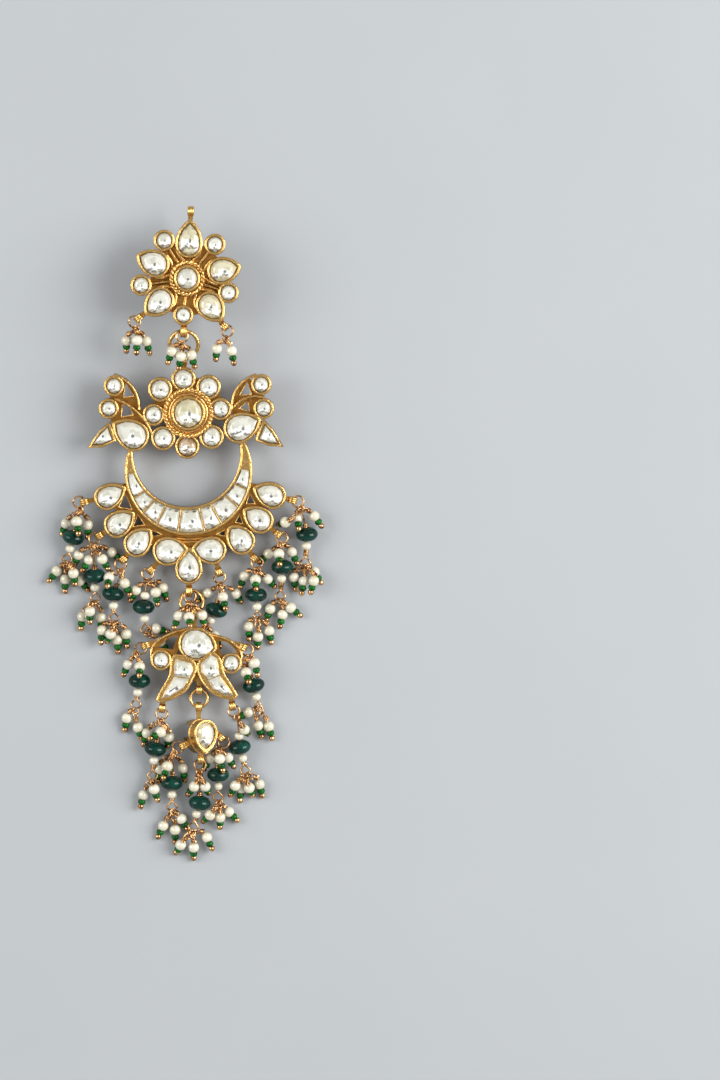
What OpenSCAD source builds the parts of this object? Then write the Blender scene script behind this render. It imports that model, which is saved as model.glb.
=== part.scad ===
// Chandbali earring lying face up, in millimetres. The origin is the tip of the ear post, on the
// surface that the earring lies on. +Y runs from the drop to the stud, and +Z is away from the ear.

/* [Ear post] */
// Radius of the ear post
post_r = 0.45; // [0.35:0.05:0.6]
// Length of the ear post, which is the height of the stud's back
post_len = 8; // [7.5:0.5:9]

/* [Gold settings] */
// Height of a setting, from its back to the rims round its stones
setting_h = 2.4; // [2.2:0.1:2.6]
// Width of the rim round a stone
rim = 0.5; // [0.4:0.05:0.55]
// Thickness of the plate that joins the rims
plate_t = 1.2; // [1:0.1:1.4]
// Thickness of gold under a stone
floor_t = 0.8; // [0.6:0.1:1]
// Clearance between a stone and its setting
stone_gap = 0.08; // [0.06:0.01:0.1]
// Height of a stone's table over its rim
stone_rise = 0.5; // [0.3:0.1:0.6]
// Slope of the moon piece, from the stud down to the beads, in degrees
moon_slope = 5.5; // [5:0.25:6]

/* [Strap loops] */
// Radius of the hole in a small strap loop
loop_bore_r = 0.5; // [0.46:0.02:0.54]
// Radius of the hole in a loop that holds a large ring
wide_bore_r = 0.8; // [0.78:0.01:0.84]
// Thickness of a loop's wall
loop_wall = 0.4; // [0.3:0.05:0.5]
// Length of a strap loop along its hole
loop_w = 1; // [0.8:0.1:1.1]

/* [Bead strings] */
// Radius of a pearl
pearl_r = 1.05; // [0.95:0.05:1.05]
// Radius of a dark green rondelle
rondelle_r = 2.3; // [2.1:0.05:2.3]
// Thickness of a rondelle along its string
rondelle_h = 2.9; // [2.6:0.1:2.9]
// Radius of the small white bead under a rondelle
white_r = 1; // [0.9:0.05:1]
// Thickness of the small white bead
white_h = 1.6; // [1.4:0.1:1.6]
// Radius of the ball at the end of a strand
ball_r = 0.58; // [0.5:0.02:0.6]
// Radius of the string wire
wire_r = 0.2; // [0.16:0.02:0.2]
// Clearance round the wire in a drilled bead
drill_gap = 0.15; // [0.12:0.01:0.16]
// Radius of the hole in a rondelle, in which the string bends
rondelle_bore_r = 0.58; // [0.56:0.02:0.64]
// Radius of the wrapped stem between a string's jump ring and its knot
stem_r = 0.3; // [0.26:0.02:0.34]
// Radius of the knot that gathers the strands
knot_r = 0.6; // [0.5:0.05:0.65]
// Radius of a string's jump ring, to the middle of its wire
small_ring_r = 1.2; // [1.15:0.05:1.25]

/* [Hidden] */
$fn = 32;
gold = [0.84, 0.66, 0.33];
rose_gold = [0.78, 0.52, 0.34];
crystal = [0.9, 0.91, 0.88];
pearl_white = [0.94, 0.93, 0.87];
deep_green = [0.02, 0.22, 0.18];

// Height of a strap loop's hole over the back of its setting
loop_z = 1.1;
// Height that a flower's middle stands over its other stones
collar_lift = 0.6;
// Height of a stone's girdle under its rim
girdle_drop = 0.25;
// Sides of a straight length of string wire
wire_sides = 6;
// Sides of a knot where wires meet
knot_sides = 8;
// Radius of each large ring to the middle of its wire, and of the wire
ring_r = 2.95;
ring_wire = 0.42;
lotus_ring_r = 2.4;
lotus_ring_wire = 0.35;
drop_ring_r = 1.8;
drop_ring_wire = 0.3;
// The large rings sit low in the two loops that also hold a bead cluster, whose ring sits high
ring_sink = 0.33;
cluster_lift = 0.45;

// Stud, round the ear post. Petals: direction, reach of the rim's tip
TURN = 0;
REACH = 1;
stud_petals = [[87, 12.4], [155, 11.6], [220, 11.5], [310, 11.4], [13, 11.5]];
petal_r = 2.8;
petal_reach = 7.1;
// Small round stones: direction, reach, radius of the rim
stud_rounds = [[121, 9.2, 2.15], [51, 9.1, 2.15], [188, 9.6, 2.15], [341, 9, 2.1], [264, 7.6, 2.05]];
stud_rope_r = 3.7;
stud_collar_r = 2.7;
stud_plate_r = 7.6;
// Strap loops: direction, reach, radius of the hole, length of the neck
stud_loops = [
    [87, 14, loop_bore_r, 1.7],
    [219, 12.9, loop_bore_r, 1.7],
    [266, 10.8, wide_bore_r, 1.45],
    [308, 12.4, loop_bore_r, 1.7]
];

// Moon piece, round the middle of its flower: direction, reach, radius of the rim
flower_rounds = [
    [98, 7.1, 2.5], [52, 6.8, 2.5], [7, 6.7, 2.25], [314, 6.9, 2.5],
    [268, 7, 2.5], [225, 7.4, 2.5], [183, 7.2, 2.25], [140, 7.6, 2.5]
];
flower_rope_r = 5.3;
flower_collar_r = 3.5;
flower_plate_r = 7.4;
moon_loop_at = [-0.9, 11.2];
moon_neck = 1.9;
// Outlines of the plates that join the flower to the birds
flower_bridges = [
    [[-9, -1.5], [-6, -2], [-6, -5], [-9, -6.5]],
    [[8, -1.5], [5, -2], [5, -5], [8, -5.5]]
];
// Birds: x, y, radius of the body's rim, reach of its tip, direction of the tip
bird_bodies = [[-11.3, -4.8, 3.15, 5.3, 148], [10.4, -3.2, 3.1, 5.1, 23]];
// Rounds on the birds' wings: x, y, radius of the rim
bird_rounds = [[-15.4, 5.6, 2.1], [-16.5, 0.9, 2.05], [15.1, 5.9, 2.1], [15.6, 0.9, 2.1]];
// Arched wires over the wings: centre x, centre y, radius, start and end of the arc
bird_arches = [
    [-17.1, 1.2, 6.9, -4, 76], [-19.2, -9, 12.6, 27, 72],
    [15.7, 1.4, 6.7, 104, 184], [13.9, -1.9, 5.4, 70, 145]
];
// Outline of each wing's plate, of the gaps in it, and of the pointed tail and its stone
wing_plates = [
    [[-15.4, 6], [-13, 7.2], [-11.3, 5], [-10.3, 2], [-8, -3], [-11.8, -3], [-16, -2], [-17, 1]],
    [[15.1, 6], [12.4, 7], [10.2, 5], [8.9, 1.6], [9.4, -2], [12.4, -2], [16, -1], [16, 1]]
];
wing_gaps = [
    [[-13, 6.2], [-11.2, 3.4], [-13.6, 3.1]],
    [[-13.8, 1.6], [-12.4, 1.6], [-11.3, -0.5], [-14, -1]],
    [[12.2, 6.5], [13.2, 3.7], [10.5, 3.6]],
    [[12.3, 2.4], [12.8, 0.1], [10.4, 0.9]]
];
tails = [
    [[-17.8, -7.1], [-14.9, -5.8], [-16.3, -1.8], [-18.6, -3.9], [-21, -7.3]],
    [[19.7, -7.1], [17.6, -3.6], [15.5, -1.2], [13.7, -5.7], [16.6, -6.8]]
];
// Share of the tail that its stone's pocket takes up, and how much less the stone takes
tail_rim = 0.72;
tail_gap = 0.05;

// Crescent: two circles, x, y and radius, and the directions that part its stones
moon_outer = [0, -12.2, 13.2];
moon_inner = [-0.4, -8.5, 11.15];
moon_middle = [-0.2, -10.4];
crescent_rim = 0.45;
crescent_parts = [190, 213, 228, 243, 262, 284, 299, 319, 336, 354];
// Degrees of the crescent to a millimetre along it
turn_per_mm = 5;
// Height at which the crescent's horns are cut off
horn_top = -6.6;
// Fan: x, y, radius of the rim, reach of its tip, direction of the tip, and the loop outside it:
// direction, reach, radius of the hole
X = 0;
Y = 1;
RIM_R = 2;
TIP = 3;
TIP_TURN = 4;
LOOP_TURN = 5;
LOOP_REACH = 6;
LOOP_BORE = 7;
fan = [
    [-17, -17.6, 2.6, 4.7, 28, 192, 4.7, loop_bore_r],
    [-14.9, -23.3, 2.7, 4.6, 35, 212, 4.3, loop_bore_r],
    [-10.8, -27.3, 2.75, 4.4, 47, 229, 4.3, loop_bore_r],
    [-4.5, -28.8, 3, 4.5, 4, 230, 5.2, loop_bore_r],
    [0, -32.8, 2.8, 4.9, 90, 270, 4.4, wide_bore_r],
    [4.9, -28.6, 2.9, 4.4, 176, 286, 4.8, loop_bore_r],
    [11, -26.7, 2.8, 4.2, 132, 306, 4.4, loop_bore_r],
    [14.9, -22.4, 2.7, 4.4, 146, 322, 4.6, loop_bore_r],
    [17.5, -17.3, 2.7, 4.6, 158, 347, 4.1, loop_bore_r]
];
// The pierced plate between the crescent and the fan: its radius, its sector and the gaps in it
web_r = 17.2;
web_wedge = [[0, -12.2], [-17, -15.5], [-17, -32], [17, -32], [17, -15.5]];
fan_gaps = [
    [[-13.1, -16.9], [-11.7, -20.2], [-14.7, -19.7]], [[-10.6, -21.2], [-9.1, -23.4], [-11.7, -23.8]],
    [[-7.7, -24.4], [-5.6, -25.4], [-7.7, -25.9]], [[7.5, -24.4], [7.7, -25.8], [5.7, -25.4]],
    [[10.6, -21.2], [11.3, -23.2], [9.6, -22.8]], [[12.6, -16.7], [13.9, -19], [11.9, -19]]
];

// Lotus, round the foot of its crown stone
lotus_at = [1.9, -79.2];
lotus_back_z = 2.3;
lotus_crown = [-0.4, 3.6, 3.5, 4.7, -12];
lotus_rounds = [[-7.5, 0.3, 2.15], [7.1, -0.4, 2.15]];
lotus_leaves = [
    [[-4.6, 1.4], [-0.9, 0], [-0.3, -1.5], [-1.1, -3.6], [-2.4, -6], [-5.7, -7.8], [-8.3, -8.2],
        [-7.2, -6], [-5.4, -3.1], [-5.2, -0.2]],
    [[0.3, -0.4], [3, 1.9], [4.6, 0.6], [5.1, -2.3], [6.8, -5], [8.3, -7.4], [5.5, -7.5],
        [3, -6.2], [1.1, -4], [0.3, -1.9]]
];
lotus_petals = [
    [[-4.6, -1], [-4.5, -2.9], [-1.7, -3.3], [-1, -1.7], [-1.4, -0.5], [-4.3, 0.3]],
    [[-6.4, -6], [-7, -7.4], [-5.6, -7.1], [-3, -5.5], [-1.9, -3.8], [-4.7, -3.4]],
    [[1, -2], [2.4, -3.5], [4.4, -2.6], [4, 0.4], [2.8, 1.1], [1, -0.5]],
    [[3.5, -5.6], [5.6, -6.8], [7.2, -6.8], [5.8, -4.7], [4.7, -3.1], [2.5, -4]]
];
lotus_arches = [
    [[-1.1, 6.9], [-3.7, 6.5], [-6.1, 5.5], [-8.3, 4.3], [-9.6, 2.6], [-9.5, 0.6], [-5, -1], [-3.8, 3]],
    [[0.7, 7], [2.8, 5.7], [4.5, 5.1], [6.6, 4.5], [8.5, 2.9], [9.3, 1.2], [8.8, -0.8], [4, -1], [3.4, 3]]
];
lotus_gaps = [
    [[-8.2, 2.8], [-5.9, 4.8], [-3.9, 5.4], [-4.7, 3.6], [-5, 2.5]],
    [[4.4, 4.3], [6.1, 4], [7.5, 2.9], [8.2, 1.8], [5.2, 1.2], [4.6, 2.4]]
];
// Share of its pocket that a petal's stone takes up
petal_share = 0.93;
// Plate under the petals, and the knob over the crown: x, y and radius
lotus_bridge = [[-1.2, 0.5], [1.2, 0.5], [1.4, -3.4], [0.4, -5], [-1.2, -3.4]];
lotus_knob = [-0.2, 5.6, 1.5];
// Loops: x, y, direction, length of the neck, radius of the hole
lotus_loops = [
    [-0.6, 10.2, 90, 3.4, wide_bore_r],
    [0.4, -5.9, 270, 2.6, loop_bore_r],
    [-10.7, 3.3, 200, 2.1, loop_bore_r],
    [9.4, 3, 335, 1.9, loop_bore_r],
    [-7.3, -9.7, 262, 2.2, loop_bore_r],
    [7.3, -9.2, 280, 2.2, loop_bore_r]
];

// Drop, round the middle of its case, which lies on one edge with its face turned aside
drop_at = [2.5, -94];
drop_r = 2.75;
drop_tip = 4.3;
drop_depth = 4.8;
drop_turn = 32;
drop_wall = 0.5;
// Clearance of the case over the surface, and the open arch in its side: y and width
drop_lift = 0.02;
drop_arch = [-1, 2.6];
// Loops: x, y and z of the hole, direction, length of the neck
drop_loops = [[-0.3, 5.3, 0, 90, 2.7], [-3.4, -2.7, 0, 205, 1.6], [4.3, -1, -0.2, 310, 1.8],
    [0.2, -5.6, 0, 270, 1.8]];

// A strand hangs from a knot and holds a pearl, a seed bead and an end ball. Its leans are in
// degrees from straight down the earring, positive to the right: lean of the pearl, reach of the
// pearl, height of the pearl, lean of the tail and height of the end ball
LEAN = 0;
PEARL_REACH = 1;
PEARL_Z = 2;
TAIL = 3;
BALL_Z = 4;
tail_len = 2.5;
neck_len = 1.35;
// A string hangs from a loop: lean of its ring, lean, reach and height of its knot, the strands
// there, the rondelle's lean and reach, the second knot's lean and reach, the strands there, and
// whether a white bead sits over the rondelle too
RING_LEAN = 0;
KNOT = 1;
STRANDS = 2;
RONDELLE = 3;
LOWER_KNOT = 4;
LOWER_STRANDS = 5;
WHITE_OVER = 6;
rondelle_z = rondelle_r + 0.05;
lower_knot_z = 1.9;
// Distance from the middle of a rondelle to the middle of the white bead beside it
white_drop = 2.45;

stud_strings = [
    [-50, [10, 1.7, 8.6],
        [[-42, 2.9, 8.1, -3, 6.7], [7, 2.2, 9.6, -3, 9.2], [42, 3.1, 8.2, 17, 7.7]]],
    [-15, [-10, 1.7, 9.9],
        [[-52, 2.3, 10.3, -20, 9.5], [2, 2.5, 10.7, -10, 10], [45, 3.1, 10, 16, 9.4]]],
    [30, [-10, 1.9, 8.7],
        [[-47, 2.5, 8.5, -6, 7.2], [29, 2.5, 8.3, 11, 8.1]]]
];
fan_strings = [
    [-87, [10, 1.8, 4.3],
        [[26, 3.3, 2.6, 0, 2.1], [-18, 2.4, 5, 9, 5.4], [-49, 4.1, 1.7, -22, 0.7]],
        [-16, 5.8], [-16, 5.5],
        [[-49, 2.6, 1.1, -38, 1.2], [37, 2.7, 3.7, 7, 2.6],
            [-3, 3.4, 1.1, -2, 0.7], [38, 4.7, 1.3, 40, 0.7]],
        false],
    [-58, [-5, 1.6, 4.8],
        [[70, 3.8, 1.5, 50, 1.2], [32, 3.2, 3.8, 32, 2.8],
            [-20, 3.1, 2.8, -33, 3], [-60, 3.7, 2.5, -26, 1.1]],
        [1, 6.2], [1, 5.4],
        [[-28, 2.2, 3.9, -1, 2.7], [19, 3.5, 1.1, 0, 0.7], [-41, 4.1, 1.1, -9, 0.7]],
        false],
    [-31, [11, 1.6, 3.3],
        [[14, 2.5, 3.7, 24, 3.5], [-65, 2.9, 4, -8, 5.8]],
        [-22, 5], [2, 5.9],
        [[45, 3.5, 1.4, 4, 1], [9, 3.7, 1.1, 5, 0.8],
            [-15, 2.5, 3.5, -27, 1.7], [-56, 3, 2.5, -5, 2.4]],
        false],
    [-42, [-3, 1.8, 3.2],
        [[72, 3.4, 1.3, 18, 0.7], [42, 2.7, 2.9, 9, 2.5], [-56, 2.8, 2.6, -28, 1.6]],
        [-8, 5.1], [5, 5.6],
        [[118, 2.3, 1.1, 75, 0.7], [60, 3.4, 1.1, 40, 0.8]],
        true],
    [10, [-7, 1.6, 4],
        [[-42, 3.2, 4.8, -20, 4.5], [2, 2.6, 6, 10, 7.8], [52, 3.5, 4.8, 12, 3.5]]],
    [6, [5, 1.7, 3.3],
        [[-59, 3.1, 1.3, -50, 1.2], [14, 2.4, 3.9, 13, 4.5], [63, 3.6, 2.3, 31, 0.7]],
        [-9, 5.1], [-30, 4.1],
        [[-40, 2.4, 1.1, -30, 0.7], [40, 2.4, 1.1, 30, 0.7]],
        false],
    [30, [4, 1.7, 2.9],
        [[-68, 3, 1.9, -23, 1.4], [-14, 1.9, 4.2, 4, 5.9], [50, 2.6, 2.7, 44, 1.4]],
        [-4, 5], [3, 4.9],
        [[-45, 2.5, 1.1, 1, 1.4], [2, 3.8, 1.9, -4, 0.7], [43, 3.5, 1.1, 12, 0.7]],
        false],
    [44, [-14, 1.5, 3.7],
        [[-53, 3.1, 2, -48, 1.9], [-8, 1.9, 5.2, 5, 6.5], [57, 2.8, 2.4, 25, 2.5]],
        [5, 4.6], [-4, 7],
        [[-50, 2.7, 1.2, -18, 0.7], [10, 3, 1.1, -13, 1.2], [56, 2.7, 1.6, 50, 1.2]],
        false],
    [75, [28, 1.8, 4.4],
        [[-52, 4.4, 3.8, -70, 1.8], [-28, 2.1, 3, 9, 4.2], [60, 2.9, 2.7, 37, 2.3]],
        [11, 5.3], [-3, 6.8],
        [[-48, 3.2, 1.1, 8, 0.7], [-5, 3, 2.1, -10, 2.7],
            [32, 3.4, 3.5, -15, 2.9], [61, 2.2, 1.8, 31, 1.8]],
        false]
];
lotus_strings = [
    [-59, [-42, 1.5, 3.7],
        [[17, 2.8, 4.5, 0, 6.3], [-36, 2.8, 2.8, -26, 1.8]],
        [7, 5.7], [-9, 5.9],
        [[-42, 2.6, 1.2, -11, 0.7], [8, 3.9, 1.4, 18, 0.7]],
        false],
    [57, [-6, 2.1, 3.6],
        [[70, 1.8, 4.2, 15, 4], [-1, 2.6, 4.2, 18, 5.8]],
        [16, 5.5], [12, 4.5],
        [[-59, 2.4, 1.3, -62, 0.7], [27, 4.7, 1.1, 16, 1], [-1, 4, 1.5, 18, 0.7]],
        false],
    [-5, [-5, 1.6, 3.7],
        [[0, 2.2, 4.7, -60, 5.2], [26, 3.6, 2.7, -7, 1.1], [-50, 3.9, 1.7, -17, 1]],
        [-12, 5.9], [-6, 6.5],
        [[15, 1.9, 3.2, 16, 2.3], [-30, 3.6, 1.4, -14, 1.2]],
        false],
    [15, [29, 1.6, 4.3],
        [[31, 2.8, 4.2, 33, 2]],
        [4, 6.1], [13, 5.9],
        [[53, 3.4, 1.2, 14, 0.7], [13, 2.8, 2.7, 24, 0.9],
            [-21, 3.1, 1.1, -5, 0.7], [-45, 3.2, 3, -28, 1.8]],
        true]
];
drop_strings = [
    [-75, [-35, 1.6, 3.6],
        [[29, 3.7, 1.1, 9, 0.8], [-26, 3, 4.2, -18, 4.8], [-42, 4.6, 1.4, -5, 1.2]],
        [-4, 6.2], [0, 5.9],
        [[50, 2.5, 1.2, 30, 0.7], [9, 4, 1.1, 0, 0.7], [-31, 3.6, 1.1, -25, 0.7]],
        false],
    [-10, [-8, 1.6, 3.5],
        [[25, 3.1, 4.1, 22, 2.1], [-20, 3, 4.2, -37, 2.8]],
        [1, 6.3], [-15, 6.1],
        [[66, 3.3, 1.2, 24, 1.4], [5, 3.4, 1.8, -1, 0.7], [-40, 3.7, 2.3, -30, 0.7]],
        false],
    [30, [-42, 2.1, 3.8],
        [[54, 2.8, 3.3, 32, 2], [19, 1.9, 5.3, 15, 5], [-39, 2.4, 2.5, -30, 2.2]],
        [2, 5.2], [0, 5.6],
        [[46, 3.1, 1.4, 44, 0.9], [8, 3.3, 2.5, -2, 1.1], [-31, 3.2, 3.2, -45, 1.6]],
        false]
];

function polar(reach, turn) = [reach * cos(turn), reach * sin(turn)];
function down(lean, reach) = [reach * sin(lean), -reach * cos(lean)];
function lift(p, z) = [p.x, p.y, z];
function unit(v) = v / norm(v);
function mean(points) = [for (k = [0, 1]) sum(points, k) / len(points)];
function sum(points, k, i = 0) = i == len(points) ? 0 : points[i][k] + sum(points, k, i + 1);
// Radius of a pointed outline's two side arcs, and half its width at a distance along it
function side_r(r, tip) = (tip * tip + r * r) / (2 * r);
function side_w(r, tip, x) = sqrt(pow(side_r(r, tip), 2) - x * x) - side_r(r, tip) + r;

// Pointed outline: round at the origin, with its tip along +X
module pear(r, tip) {
    side = side_r(r, tip);
    circle(r);
    intersection() {
        translate([0, side - r]) circle(side, $fn = 64);
        translate([0, r - side]) circle(side, $fn = 64);
        translate([0, -r]) square([tip, 2 * r]);
    }
}
// The same outline pulled in by d, as the corners of a cut stone
function pear_points(r, tip, d) = let (q = r - d, t = tip * q / r) concat(
    [for (a = [90:30:270]) polar(q, a)],
    [for (f = [0.35, 0.7]) [f * t, -side_w(q, t, f * t)]],
    [[t, 0]],
    [for (f = [0.7, 0.35]) [f * t, side_w(q, t, f * t)]]
);
function round_points(r, d) = [for (a = [0:30:330]) polar(r - d, a)];
// An outline with another corner in the middle of each edge
function facet_points(points) = [for (i = [0:len(points) - 1])
    each [points[i], (points[i] + points[(i + 1) % len(points)]) / 2]];
// An outline pulled in towards its own middle by a share of its size
function inset(points, share) = [for (p = points) mean(points) + (p - mean(points)) * share];

// Cut stone on a flat back: a wall, one facet up from each corner to the next, and a flat table
module cut_stone(points, table = 0.72) {
    n = len(points);
    base = floor_t + stone_gap;
    girdle = setting_h - girdle_drop;
    top = setting_h + stone_rise;
    inner = inset(points, table);
    corners = concat(
        [for (p = points) lift(p, base)],
        [for (p = points) lift(p, girdle)],
        [for (p = inner) lift(p, top)]
    );
    color(crystal) polyhedron(corners, concat(
        [[for (i = [0:n - 1]) i]],
        [for (i = [0:n - 1]) [i, n + i, n + (i + 1) % n, (i + 1) % n]],
        [for (i = [0:n - 1]) [n + i, 2 * n + i, 2 * n + (i + 1) % n, n + (i + 1) % n]],
        [[for (i = [n - 1:-1:0]) 2 * n + i]]
    ));
}
module pear_stone(r, tip) cut_stone(pear_points(r - rim, tip - rim * tip / r, stone_gap));
module round_stone(r) cut_stone(round_points(r - rim, stone_gap));

// Strap loop round its hole, with a neck running back to the setting
module strap_loop(turn, neck, bore_r) {
    rotate([0, 0, turn]) difference() {
        union() {
            rotate([90, 0, 0]) cylinder(r = bore_r + loop_wall, h = loop_w, center = true);
            translate([-neck, -loop_w / 2, -loop_wall]) cube([neck, loop_w, 2 * loop_wall]);
        }
        rotate([90, 0, 0]) cylinder(r = bore_r, h = loop_w + 1, center = true);
    }
}
module ring(r, wire) rotate_extrude() translate([r, 0]) circle(wire, $fn = 16);
module rod(a, b, r) {
    v = b - a;
    translate(a) facing(v) cylinder(r = r, h = norm(v), $fn = wire_sides);
}
module facing(way) rotate([0, acos(unit(way).z), atan2(way.y, way.x)]) children();
module up(z) translate([0, 0, z]) children();
module pocket(depth = floor_t) up(depth) linear_extrude(setting_h) children();
module at(p, turn = 0) translate([p.x, p.y]) rotate(turn) children();

// Where each sub-assembly stands
module on_stud() up(post_len) children();
stud_loop_z = post_len + loop_z;
// The first large ring leans down from the stud to the moon piece
ring_slope = 20;
stud_ring_at = lift(polar(stud_loops[2][REACH], stud_loops[2][TURN]), stud_loop_z - ring_sink)
    - [0, ring_r * cos(ring_slope), ring_r * sin(ring_slope)];
moon_top = stud_ring_at - [0, ring_r * cos(ring_slope), ring_r * sin(ring_slope)];
// A point of the moon piece, given on its plate and over its back, as it lies
function on_moon_at(p, z) = moon_origin
    + [p.x, p.y * cos(moon_slope) - z * sin(moon_slope), p.y * sin(moon_slope) + z * cos(moon_slope)];
moon_origin = moon_top
    - [moon_loop_at.x, moon_loop_at.y * cos(moon_slope), moon_loop_at.y * sin(moon_slope) + loop_z];
module on_moon() translate(moon_origin) rotate([moon_slope, 0, 0]) children();
module on_lotus() translate(lift(lotus_at, lotus_back_z)) children();
drop_z = drop_r * sin(drop_turn) + drop_depth / 2 * cos(drop_turn) + drop_lift;
module on_drop() translate(lift(drop_at, drop_z)) children();

// Stud
module petal_shape(i, d = 0) at([0, 0], stud_petals[i][TURN]) translate([petal_reach, 0])
    pear(petal_r - d, (stud_petals[i][REACH] - petal_reach) * (petal_r - d) / petal_r);
module stud_setting() color(gold) {
    on_stud() difference() {
        union() {
            linear_extrude(setting_h) {
                for (i = [0:4]) petal_shape(i);
                for (s = stud_rounds) at(polar(s[1], s[0])) circle(s[2]);
                circle(stud_rope_r);
            }
            linear_extrude(plate_t) circle(stud_plate_r);
            cylinder(r = stud_collar_r, h = setting_h + collar_lift);
        }
        pocket() for (i = [0:4]) petal_shape(i, rim);
        pocket() for (s = stud_rounds) at(polar(s[1], s[0])) circle(s[2] - rim);
        up(floor_t + collar_lift) cylinder(r = stud_collar_r - rim, h = setting_h);
    }
    for (s = stud_loops)
        translate(lift(polar(s[1], s[0]), stud_loop_z)) strap_loop(s[0], s[3], s[2]);
    cylinder(r = post_r, h = post_len + floor_t / 2);
}
module stud_centre_stone() on_stud() up(collar_lift) round_stone(stud_collar_r);
module stud_round_stones() on_stud() for (s = stud_rounds) at(polar(s[1], s[0])) round_stone(s[2]);
module stud_petal_stone(i) on_stud() at([0, 0], stud_petals[i][TURN]) translate([petal_reach, 0])
    pear_stone(petal_r, stud_petals[i][REACH] - petal_reach);
module ring_stud_to_moon() color(gold)
    translate(stud_ring_at) rotate([ring_slope, 0, 0]) ring(ring_r, ring_wire);

// Moon piece
module bird_shape(b, d = 0) at([b[0], b[1]], b[4]) pear(b[2] - d, b[3] * (b[2] - d) / b[2]);
module fan_shape(f, d = 0) at([f[X], f[Y]], f[TIP_TURN])
    pear(f[RIM_R] - d, f[TIP] * (f[RIM_R] - d) / f[RIM_R]);
module arc_strip(a) difference() {
    intersection() {
        at([a[0], a[1]]) circle(a[2] + rim / 2, $fn = 64);
        at([a[0], a[1]], a[3])
            polygon([[0, 0], for (k = [0:2]) polar(2 * a[2], (a[4] - a[3]) * k / 2)]);
    }
    at([a[0], a[1]]) circle(a[2] - rim / 2, $fn = 64);
}
module crescent_shape() difference() {
    at(moon_outer) circle(moon_outer[2], $fn = 96);
    at(moon_inner) circle(moon_inner[2], $fn = 96);
    translate([-20, horn_top]) square(40);
}
// Where a ray from the middle of the crescent meets a circle
function ray_hit(turn, c, r) = let (d = polar(1, turn), o = moon_middle - [c[0], c[1]], k = o * d)
    moon_middle + d * (sqrt(k * k - o * o + r * r) - k);
function crescent_points(i, d) = let (
    start = crescent_parts[i] + d * turn_per_mm,
    step = (crescent_parts[i + 1] - d * turn_per_mm - start) / 3,
    outer = moon_outer[2] - crescent_rim - d,
    inner = moon_inner[2] + crescent_rim + d
) concat(
    [for (k = [0:3]) ray_hit(start + step * k, moon_outer, outer)],
    [for (k = [3:-1:0]) ray_hit(start + step * k, moon_inner, inner)]
);
module moon_loops() {
    translate(lift(moon_loop_at, loop_z)) strap_loop(90, moon_neck, wide_bore_r);
    for (f = fan)
        translate(lift([f[X], f[Y]] + polar(f[LOOP_REACH], f[LOOP_TURN]), loop_z))
            strap_loop(f[LOOP_TURN], f[LOOP_REACH] - f[RIM_R] + rim / 2, f[LOOP_BORE]);
}
module moon_setting() color(gold) on_moon() {
    difference() {
        union() {
            linear_extrude(setting_h) {
                circle(flower_rope_r);
                for (s = flower_rounds) at(polar(s[1], s[0])) circle(s[2]);
                for (b = bird_bodies) bird_shape(b);
                for (s = bird_rounds) at([s[0], s[1]]) circle(s[2]);
                for (a = bird_arches) arc_strip(a);
                for (t = tails) polygon(t);
                for (f = fan) fan_shape(f);
                crescent_shape();
            }
            linear_extrude(plate_t) difference() {
                union() {
                    circle(flower_plate_r);
                    for (w = wing_plates) polygon(w);
                    for (b = flower_bridges) polygon(b);
                    intersection() {
                        at(moon_outer) circle(web_r, $fn = 96);
                        polygon(web_wedge);
                    }
                }
                at(moon_outer) circle(moon_outer[2] - 0.5, $fn = 96);
                for (g = fan_gaps) polygon(g);
                for (g = wing_gaps) polygon(g);
            }
            cylinder(r = flower_collar_r, h = setting_h + collar_lift);
        }
        up(floor_t + collar_lift) cylinder(r = flower_collar_r - rim, h = setting_h);
        pocket() for (s = flower_rounds) at(polar(s[1], s[0])) circle(s[2] - rim);
        pocket() for (b = bird_bodies) bird_shape(b, rim);
        pocket() for (s = bird_rounds) at([s[0], s[1]]) circle(s[2] - rim);
        pocket() for (t = tails) polygon(inset(t, tail_rim));
        pocket() for (f = fan) fan_shape(f, rim);
        pocket() for (i = [0:8]) polygon(crescent_points(i, 0));
    }
    moon_loops();
}
module flower_centre_stone() on_moon() up(collar_lift) round_stone(flower_collar_r);
module flower_ring_stones() on_moon() for (s = flower_rounds) at(polar(s[1], s[0])) round_stone(s[2]);
module bird_body_stone(b) on_moon() at([b[0], b[1]], b[4]) pear_stone(b[2], b[3]);
module bird_wing_stones() on_moon() for (t = tails)
    cut_stone(facet_points(inset(t, tail_rim - tail_gap)));
module bird_round_stones() on_moon() for (s = bird_rounds) at([s[0], s[1]]) round_stone(s[2]);
module crescent_stones() on_moon() for (i = [0:8]) cut_stone(crescent_points(i, stone_gap));
module fan_stone(f) on_moon() at([f[X], f[Y]], f[TIP_TURN]) pear_stone(f[RIM_R], f[TIP]);
module ring_moon_to_lotus() color(gold) translate(lotus_ring_at)
    rotate([-lotus_ring_slope, 0, 0]) ring(lotus_ring_r, lotus_ring_wire);
moon_foot = on_moon_at([fan[4][X], fan[4][Y] - fan[4][LOOP_REACH]], loop_z);
lotus_head = lift(lotus_at + [lotus_loops[0][0], lotus_loops[0][1]], lotus_back_z + loop_z);
lotus_ring_at = (moon_foot + lotus_head - [0, 0, ring_sink]) / 2;
lotus_ring_slope = asin((lotus_head.z - moon_foot.z + ring_sink) / 2 / lotus_ring_r);

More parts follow.
